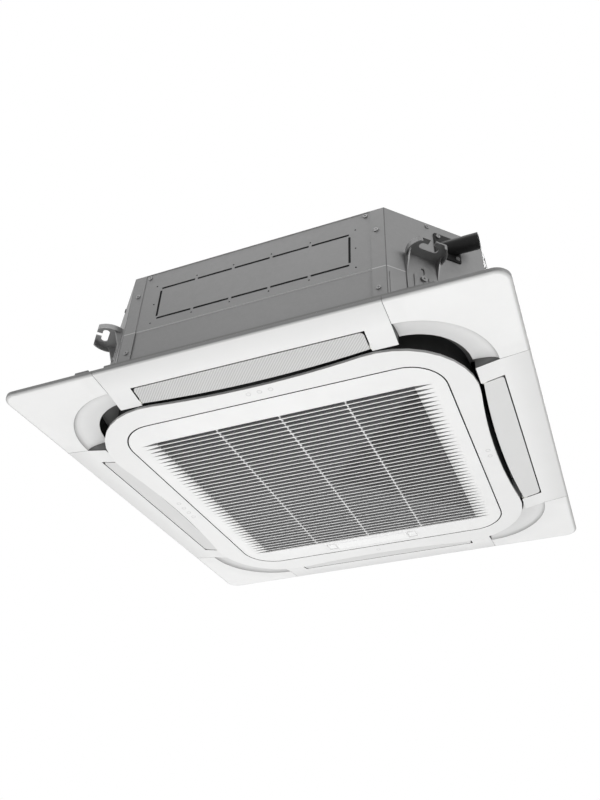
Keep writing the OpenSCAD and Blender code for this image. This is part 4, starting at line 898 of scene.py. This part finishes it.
def node_box(node: str) -> tuple[Vector, Vector]:
    """The lowest and highest corner of a node, in millimetres."""
    box = frame["nodes"][node].bound_box
    return Vector(box[0]) / MM, Vector(box[6]) / MM


def block(name: str, low: Vector, high: Vector) -> Piece:
    """Adds a plain block to be worked on.

    Args:
        name: The object's name.
        low: Its lowest corner in millimetres.
        high: Its highest corner in millimetres.

    Returns:
        The block, with its place in its mesh.
    """
    deselect()
    bpy.ops.mesh.primitive_cube_add(size=1, location=(low + high) / 2 * MM)
    obj = bpy.context.object
    obj.name = name
    obj.scale = (high - low) * MM
    settle(obj)
    return obj


def join(name: str, parts: Sequence[Piece]) -> Piece:
    """Joins objects into the first of them.

    Args:
        name: The joined object's name.
        parts: The objects.

    Returns:
        The joined object.
    """
    pick(parts[0])
    for part in parts[1:]:
        part.select_set(True)
    bpy.ops.object.join()
    parts[0].name = name
    return parts[0]


@dataclass(frozen=True)
class RoundSquare:
    """Square outline with round corners, in millimetres."""

    half: float
    corner: float

    def within(self, point: Vector) -> float:
        """Measures a point's way to the outline.

        Args:
            point: The point, in millimetres.

        Returns:
            How far inside it lies; below zero outside the outline.
        """
        core = self.half - self.corner
        along = max(abs(point.x) - core, 0.0)
        across = max(abs(point.y) - core, 0.0)
        return self.corner - math.hypot(along, across)


RIM = RoundSquare(475.0, 28.0)
FRAME_OUTLINE = RoundSquare(380.0, 155.0)
GRILLE_OPENING = RoundSquare(325.3, 75.0)


def steep_shade(point: Vector, normal: Vector) -> float:
    """Says how much painted shade the underside gets at a point, from how steeply it stands.

    Args:
        point: The point, in millimetres.
        normal: The way that its face looks.

    Returns:
        Zero where it looks down, one where it is upright or on the rim's outer line.
    """
    if normal.z > UPWARD:
        return 0.0
    inward = RIM.within(point)
    if inward < RIM_LINE:
        return 1.0
    power = RIM_POWER if inward < RIM_BAND else STEEP_POWER
    return min(1.0, max(0.0, 1 + normal.z)) ** power


def mark(obj: Piece, name: str, rule: CornerRule) -> None:
    """Stores a number at each face corner.

    Args:
        obj: The object whose mesh carries it.
        name: The attribute's name.
        rule: Gives the number from a corner's point in millimetres and its normal.
    """
    mesh = obj.data
    points = [mesh.vertices[loop.vertex_index].co / MM for loop in mesh.loops]
    values = [rule(p, n.vector) for p, n in zip(points, mesh.corner_normals)]
    mesh.attributes.new(name, "FLOAT", "CORNER").data.foreach_set("value", values)


def dress(obj: Piece, finish: Finish) -> None:
    """Gives an object one finish all over.

    Args:
        obj: The object.
        finish: Its finish.
    """
    obj.data.materials.clear()
    obj.data.materials.append(finish.material())
    for polygon in obj.data.polygons:
        polygon.material_index = 0


@dataclass(frozen=True)
class Look:
    """A node's finish, and its edges' rounding in millimetres where it is made again."""

    finish: Finish
    bevel: float | None = None


@dataclass
class SubAssembly:
    """A group of nodes that are finished together."""

    record: dict

    def looks(self) -> dict[str, Look]:
        """How each node of the group looks, other than those that build makes."""
        return {}

    def slot_of(self, node: str) -> str:
        """The record's material slot of a node."""
        return next(s["material_slot"] for s in self.record["subparts"] if s["node"] == node)

    def body_of(self, node: str) -> str:
        """The body that a node moves with."""
        bodies = self.record["behaviour"]["bodies"]
        return next(body for body, nodes in bodies.items() if node in nodes)

    def adopt(self, obj: Piece, node: str, *others: str) -> Piece:
        """Makes an object stand for a node.

        Args:
            obj: The new piece.
            node: The node whose body it takes, and which must have a slot in the record.
            others: Further nodes that it stands for.

        Returns:
            The same object.
        """
        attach(obj, self.body_of(node))
        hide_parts(node, *others)
        self.slot_of(node)
        LOG.info("piece %s stands for %s", obj.name, node)
        return obj

    def remould(
        self, node: str, finish: Finish, bevel: float, recess: CornerRule | None = None
    ) -> Piece:
        """Makes a node again with rounded edges.

        Args:
            node: The node to copy.
            finish: The finish of the new piece.
            bevel: The width of the rounding in millimetres, or zero for none.
            recess: Gives each corner its share of painted shade, from zero to one, where that
                counts.

        Returns:
            The new piece.
        """
        mesh = frame["nodes"][node].data.copy()
        obj = bpy.data.objects.new(f"{node}_moulding", mesh)
        bpy.context.scene.collection.objects.link(obj)
        with editing(obj):
            bpy.ops.mesh.select_all(action="SELECT")
            bpy.ops.mesh.remove_doubles(threshold=MERGE_GAP)
            if bevel:
                bpy.ops.mesh.dissolve_limited(angle_limit=FLAT_ANGLE)
        if bevel:
            soften(obj, bevel, angle_limit=EDGE_ANGLE, use_clamp_overlap=True)
        smooth(obj)
        apply_modifier(obj, "WEIGHTED_NORMAL", keep_sharp=True)
        mark(obj, STEEP_SHADE, steep_shade)
        if recess:
            mark(obj, RECESS_SHADE, recess)
        dress(obj, finish)
        return self.adopt(obj, node)

    def build(self) -> None:
        """Makes the group's own pieces; a group without any leaves this as it is."""

    def finish(self) -> None:
        """Builds the pieces, then finishes the nodes that are still shown."""
        self.build()
        for node, look in self.looks().items():
            obj = frame["nodes"][node]
            if obj.hide_render:
                continue
            if look.bevel is None:
                dress(obj, look.finish)
                LOG.info("node %s in %s", node, look.finish.name)
            else:
                self.remould(node, look.finish, look.bevel)


@dataclass
class Casing(SubAssembly):
    """Sheet-steel box with its screws, brackets, lining and drain outlet."""

    knock_half: float = 216.0

    def looks(self) -> dict[str, Look]:
        """Gives each node of the casing its look.

        Returns:
            The looks by node.
        """
        made = {"top_plate": Look(SHEET_ZINC, 0.0), "casing_fasteners": Look(SCREW_ZINC, 0.25)}
        made |= {f"side_panel_{s.value}": Look(SHEET_ZINC, 0.25) for s in Side}
        made |= {f"corner_panel_{c.value}": Look(SHEET_ZINC, 0.25) for c in Corner}
        # Painted light: the left brackets take the lighter copy of the bracket steel.
        for corner in Corner:
            steel = BRACKET_LIT if corner.value.endswith("left") else BRACKET_STEEL
            made[f"hanger_bracket_{corner.value}"] = Look(steel, 0.5)
        made["foam_liner"] = Look(LINER_FOAM)
        made["drain_outlet"] = Look(OUTLET_PLASTIC, 0.4)
        return made

    def slot_wall(self, point: Vector, normal: Vector) -> float:
        """One on the walls of the duct knock-out's slots and dots, which take painted shade,
        else zero.
        """
        return float(abs(point.x) < self.knock_half and abs(normal.y) < WALL_LEAN)

    def build(self) -> None:
        """Rounds the front side panel, and marks the walls of its slots for painted shade."""
        self.remould("side_panel_front", SHEET_ZINC, 0.15, self.slot_wall)


@dataclass
class Refrigeration(SubAssembly):
    """Drain pan, coil, pipes, pump and float."""

    def looks(self) -> dict[str, Look]:
        """How each node of the group looks."""
        return {
            "drain_pan": Look(PAN_FOAM, 1.0),
            "drain_plug": Look(PLUG_RUBBER, 0.8),
            "coil_fins": Look(FINS),
            "coil_end_plates": Look(END_ALUMINIUM),
            "coil_tubes": Look(COPPER),
            "gas_pipe": Look(COPPER),
            "liquid_pipe": Look(COPPER),
            "flare_nuts": Look(BRASS),
            "drain_pump": Look(PUMP_PLASTIC, 0.6),
            "float_switch": Look(PUMP_PLASTIC),
            "float": Look(FLOAT_PLASTIC, 0.6),
            "drain_hose": Look(HOSE_RUBBER),
        }


@dataclass
class Blower(SubAssembly):
    """Motor, turbo fan and bell mouth."""

    def looks(self) -> dict[str, Look]:
        """How each node of the group looks."""
        return {
            "fan_motor": Look(MOTOR_CASTING, 0.5),
            "motor_rubbers": Look(MOUNT_RUBBER, 0.6),
            "motor_shaft": Look(SHAFT_STEEL),
            "turbo_fan": Look(FAN_PLASTIC),
            "fan_nut": Look(SCREW_ZINC, 0.4),
            "bell_mouth": Look(BELL_PLASTIC, 0.4),
        }


@dataclass
class Controls(SubAssembly):
    """Control box with its board and terminals."""

    def looks(self) -> dict[str, Look]:
        """How each node of the group looks."""
        return {
            "control_box": Look(BOX_ZINC, 0.3),
            "control_box_cover": Look(BOX_ZINC, 0.3),
            "control_board": Look(BOARD),
            "terminal_block": Look(BLOCK_PLASTIC, 0.3),
        }


@dataclass
class Panel(SubAssembly):
    """Decorative panel: frame, corner covers, intake frame, duct and flaps."""

    fold: float = 422.1
    bridge: float = 225.2
    # outlet_lean, bridge_shade and seam_reach shape the painted shade on the air outlets'
    # walls and on the seam round the grille.
    outlet_lean: float = 0.5
    bridge_shade: float = 0.72
    seam_reach: float = 0.5
    edge_band: float = 22.0
    edge_scale: tuple[float, float] = (0.9934, 0.9947)
    edge_move: tuple[float, float] = (-2.5, 2.0)
    # The cove fields shape the painted shade in the corner covers' coves.
    cove_mid: float = 270.0
    cove_r: float = 151.5
    cove_soft: float = 36.0
    cove_depth: float = 0.2

    def looks(self) -> dict[str, Look]:
        """How each node of the group looks, other than those that build makes."""
        return {
            "panel_box": Look(BOX_GREY, 0.4),
            "duct_liner": Look(DUCT_FOAM),
            "panel_gasket": Look(SEAL_FOAM),
            "panel_bolts": Look(SCREW_ZINC, 0.3),
            "flap_motors": Look(MOTOR_CASTING),
            "flap_bushes": Look(BELL_PLASTIC),
        }

    def outlet_wall(self, point: Vector, normal: Vector) -> float:
        """How much painted shade a corner of the panel's frame gets in an air outlet.

        Args:
            point: The corner, in millimetres.
            normal: The way that it faces.

        Returns:
            One on the walls round a flap, less beside a corner outlet, else zero.
        """
        near, far = sorted((abs(point.x), abs(point.y)))
        if far > self.fold or abs(normal.z) > self.outlet_lean:
            return 0.0
        return 1.0 if near < self.bridge else self.bridge_shade

    def seam_wall(self, point: Vector, normal: Vector) -> float:
        """One on the intake frame's wall round the grille, where painted shade goes, else
        zero.
        """
        near = GRILLE_OPENING.within(point) > -self.seam_reach
        return float(near and abs(normal.z) < WALL_LEAN)

    def cove_shade(self, point: Vector, _: Vector) -> float:
        """The soft shade in a corner cover's cove.

        Args:
            point: A corner of a face, in millimetres.
            _: The way that it faces, which counts for nothing.

        Returns:
            Zero at the cove's outer edge, and more the further in the point lies.
        """
        out = math.hypot(abs(point.x) - self.cove_mid, abs(point.y) - self.cove_mid)
        inward = min(1.0, max(0.0, (self.cove_r - out) / self.cove_soft))
        return self.cove_depth * inward * inward * (3 - 2 * inward)

    def _ease(self, intake: Piece) -> None:
        """Draws the intake frame's outer edge in and to one side.

        Args:
            intake: The intake frame.
        """
        with editing(intake):
            bpy.ops.mesh.select_mode(type="VERT")
            bpy.ops.mesh.select_all(action="DESELECT")
        for vertex in intake.data.vertices:
            vertex.select = FRAME_OUTLINE.within(vertex.co / MM) < self.edge_band
        with editing(intake):
            bpy.ops.transform.resize(value=(*self.edge_scale, 1.0), center_override=(0, 0, 0))
            bpy.ops.transform.translate(value=[d * MM for d in (*self.edge_move, 0.0)])

    def build(self) -> None:
        """Rounds the edges of every moulding that shows."""
        self.remould("panel_frame", PANEL_WHITE, 0.5, self.outlet_wall)
        self._ease(self.remould("intake_frame", FRAME_WHITE, 0.7, self.seam_wall))
        for corner in Corner:
            name = f"corner_cover_{corner.value}"
            self.remould(name, PANEL_WHITE, 0.5, self.cove_shade)
        for side in Side:
            finish = FLAP_HATCHED if side == Side.FRONT else FLAP_PLAIN
            self.remould(f"flap_{side.value}", finish, 0.5)


@dataclass
class IntakeGrille(SubAssembly):
    """Hinged grille with its filter, latches, strip and button."""

    edge_depth: float = 3.6
    border: float = 9.0
    mesh_pitch: float = 3.0
    strand: float = 0.55
    stiffener: float = 4.0
    stiffeners: int = 3
    filter_round: float = 0.6

    def edge_wall(self, point: Vector, normal: Vector) -> float:
        """One on the grille's outer wall, where the seam's painted shade goes, else zero."""
        near = GRILLE_OPENING.within(point) < self.edge_depth
        return float(near and abs(normal.z) < WALL_LEAN)

    def _ring(self, low: Vector, high: Vector) -> Piece:
        """Makes the filter's moulded outer frame.

        Args:
            low: The filter's lowest corner, in millimetres.
            high: Its highest corner.

        Returns:
            The frame.
        """
        ring = block("air_filter_frame", low, high)
        for polygon in ring.data.polygons:
            polygon.select = abs(polygon.normal.z) > WALL_LEAN
        with editing(ring):
            bpy.ops.mesh.inset(thickness=self.border * MM, use_individual=True)
            bpy.ops.mesh.bridge_edge_loops()
        soften(ring, self.filter_round)
        return ring

    def _strands(self, axis: int, low: Vector, high: Vector) -> Piece:
        """Makes the strands of the net that lie side by side along one axis.

        Args:
            axis: The axis, 0 for X or 1 for Y.
            low: The lowest corner inside the filter's frame, in millimetres.
            high: The highest corner there.

        Returns:
            The strands in one object.
        """
        start, end = low.copy(), high.copy()
        start[axis] += self.mesh_pitch
        end[axis] = start[axis] + self.strand
        start.z = low.z + self.strand * axis
        end.z = start.z + self.strand
        strands = block(f"filter_strands_{axis}", start, end)
        offset = [0.0, 0.0, 0.0]
        offset[axis] = self.mesh_pitch * MM
        apply_modifier(
            strands,
            "ARRAY",
            count=int((high[axis] - low[axis]) / self.mesh_pitch) - 1,
            use_relative_offset=False,
            use_constant_offset=True,
            constant_offset_displace=offset,
        )
        return strands

    def _bar(self, k: int, middle: float, low: Vector, high: Vector) -> Piece:
        """Makes one stiffener over the net.

        Args:
            k: Its number.
            middle: Its place along X, in millimetres.
            low: The lowest corner inside the filter's frame, in millimetres.
            high: The highest corner there.

        Returns:
            The stiffener.
        """
        start = Vector((middle - self.stiffener / 2, low.y, low.z + 2 * self.strand))
        end = Vector((middle + self.stiffener / 2, high.y, high.z))
        bar = block(f"filter_stiffener_{k}", start, end)
        soften(bar, self.filter_round)
        return bar

    def net(self) -> Piece:
        """Makes the air filter: a moulded frame, a fine net and stiffeners.

        Returns:
            The finished filter.
        """
        low, high = node_box("air_filter")
        border = Vector((self.border, self.border, 0))
        inner = low + border, high - border
        gap = (high.x - low.x) / (self.stiffeners + 1)
        parts = [self._ring(low, high)]
        parts += [self._strands(axis, *inner) for axis in (0, 1)]
        parts += [self._bar(k, low.x + gap * (k + 1), *inner) for k in range(self.stiffeners)]
        whole = join("air_filter_net", parts)
        smooth(whole)
        dress(whole, FILTER_PLASTIC)
        return self.adopt(whole, "air_filter")

    def looks(self) -> dict[str, Look]:
        """How each node of the group looks, other than those that build makes."""
        return {"manual_button": Look(STRIP_WHITE, 0.2)}

    def build(self) -> None:
        """Rounds the grille and what is let into it, and makes the filter."""
        self.net()
        self.remould("intake_grille", GRILLE_WHITE, 0.35, self.edge_wall)
        self.remould("receiver_strip", STRIP_WHITE, 0.25)
        for side in (Side.LEFT, Side.RIGHT):
            self.remould(f"latch_{side.value}", STRIP_WHITE, 0.4)


@dataclass(frozen=True)
class SoftBox:
    """An area lamp that points at the middle of the unit."""

    name: str
    place: tuple[float, float, float]
    size: float
    power: float

    def hang(self, aim: Vector) -> Piece:
        """Adds the lamp.

        Args:
            aim: The point that it lights.

        Returns:
            The lamp's object.
        """
        data = bpy.data.lights.new(self.name, "AREA")
        data.shape = "DISK"
        data.size = self.size
        data.energy = self.power
        lamp = bpy.data.objects.new(self.name, data)
        bpy.context.scene.collection.objects.link(lamp)
        lamp.location = self.place
        lamp.rotation_euler = (aim - Vector(self.place)).to_track_quat("-Z", "Y").to_euler()
        lamp.visible_camera = False
        return lamp


@dataclass
class Studio:
    """Floor, lamps, white surround and the camera that looks up at the unit."""

    floor_z: float = -2.6
    floor_size: float = 14.0
    aim: tuple[float, float, float] = (0.0, 0.0, -0.1)
    world_light: float = 0.3
    camera_place: tuple[float, float, float] = (0.5094, -1.3048, -1.0182)
    azimuth: float = 20.135
    elevation: float = -36.365
    roll: float = -0.13
    focal_px: float = 750.53
    centre_px: tuple[float, float] = (342.07, 402.81)
    image_px: tuple[int, int] = (600, 800)
    sensor: float = 36.0

    def lamps(self) -> list[SoftBox]:
        """The lamps of the studio."""
        return [
            SoftBox("key_low", (0.2, -0.3, -2.45), 2.8, 43.5),
            SoftBox("fill_right", (2.5, -1.3, 0.2), 1.4, 32.0),
            SoftBox("fill_left", (-2.4, -1.6, -0.6), 1.2, 12.0),
            SoftBox("rear_low", (-1.4, 2.3, -2.0), 1.6, 10.0),
            SoftBox("top_soft", (-0.6, -0.9, 2.4), 2.2, 24.0),
            SoftBox("top_rear", (0.7, 2.2, 1.9), 1.8, 44.0),
        ]

    def build(self) -> None:
        """Sets up the whole studio."""
        self._floor()
        self._world()
        for lamp in self.lamps():
            lamp.hang(Vector(self.aim))
        self._camera()
        bpy.context.scene.view_settings.view_transform = "Standard"

    def _floor(self) -> None:
        """Lays the pale floor far below the unit."""
        deselect()
        bpy.ops.mesh.primitive_plane_add(size=self.floor_size, location=(0, 0, self.floor_z))
        floor = bpy.context.object
        floor.name = "studio_floor"
        settle(floor)
        dress(floor, FLOOR)

    def _world(self) -> None:
        """Makes a surround that lights softly and is white to the camera."""
        g = SurroundGraph("studio_surround")
        white = (1.0, 1.0, 1.0)
        lit = g.node("ShaderNodeBackground", None, {0: white, 1: self.world_light})
        seen = g.node("ShaderNodeBackground", None, {0: white, 1: 1.0})
        mixed = g.node(
            "ShaderNodeMixShader",
            None,
            {0: g.seen_rays(), 1: lit.outputs[0], 2: seen.outputs[0]},
        )
        g.node("ShaderNodeOutputWorld", None, {0: mixed.outputs[0]})

    def _camera(self) -> None:
        """Puts the camera where the photograph was taken from."""
        data = bpy.data.cameras.new("photo_camera")
        camera = bpy.data.objects.new("photo_camera", data)
        bpy.context.scene.collection.objects.link(camera)
        width, height = self.image_px
        data.sensor_width = self.sensor
        data.lens = self.focal_px / height * self.sensor
        data.shift_x = -(self.centre_px[0] - width / 2) / height
        data.shift_y = (self.centre_px[1] - height / 2) / height
        data.clip_start, data.clip_end = 0.01, 100.0
        a, e = math.radians(self.azimuth), math.radians(self.elevation)
        back = Vector((math.sin(a) * math.cos(e), -math.cos(a) * math.cos(e), math.sin(e)))
        right = Vector((math.cos(a), math.sin(a), 0.0))
        up = back.cross(right)
        turn = Matrix((right, up, back)).transposed() @ Matrix.Rotation(
            math.radians(self.roll), 3, "Z"
        )
        camera.rotation_mode = "QUATERNION"
        camera.rotation_quaternion = turn.to_quaternion()
        camera.location = self.camera_place
        bpy.context.scene.camera = camera


def main() -> None:
    """Builds the sub-assemblies in order, then the studio."""
    logging.basicConfig(level=logging.INFO, format="%(name)s: %(message)s")
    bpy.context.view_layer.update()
    record = frame["record"]
    for group in (Casing, Refrigeration, Blower, Controls, Panel, IntakeGrille):
        group(record).finish()
    Studio().build()
    deselect()


if __name__ == "__main__":
    main()
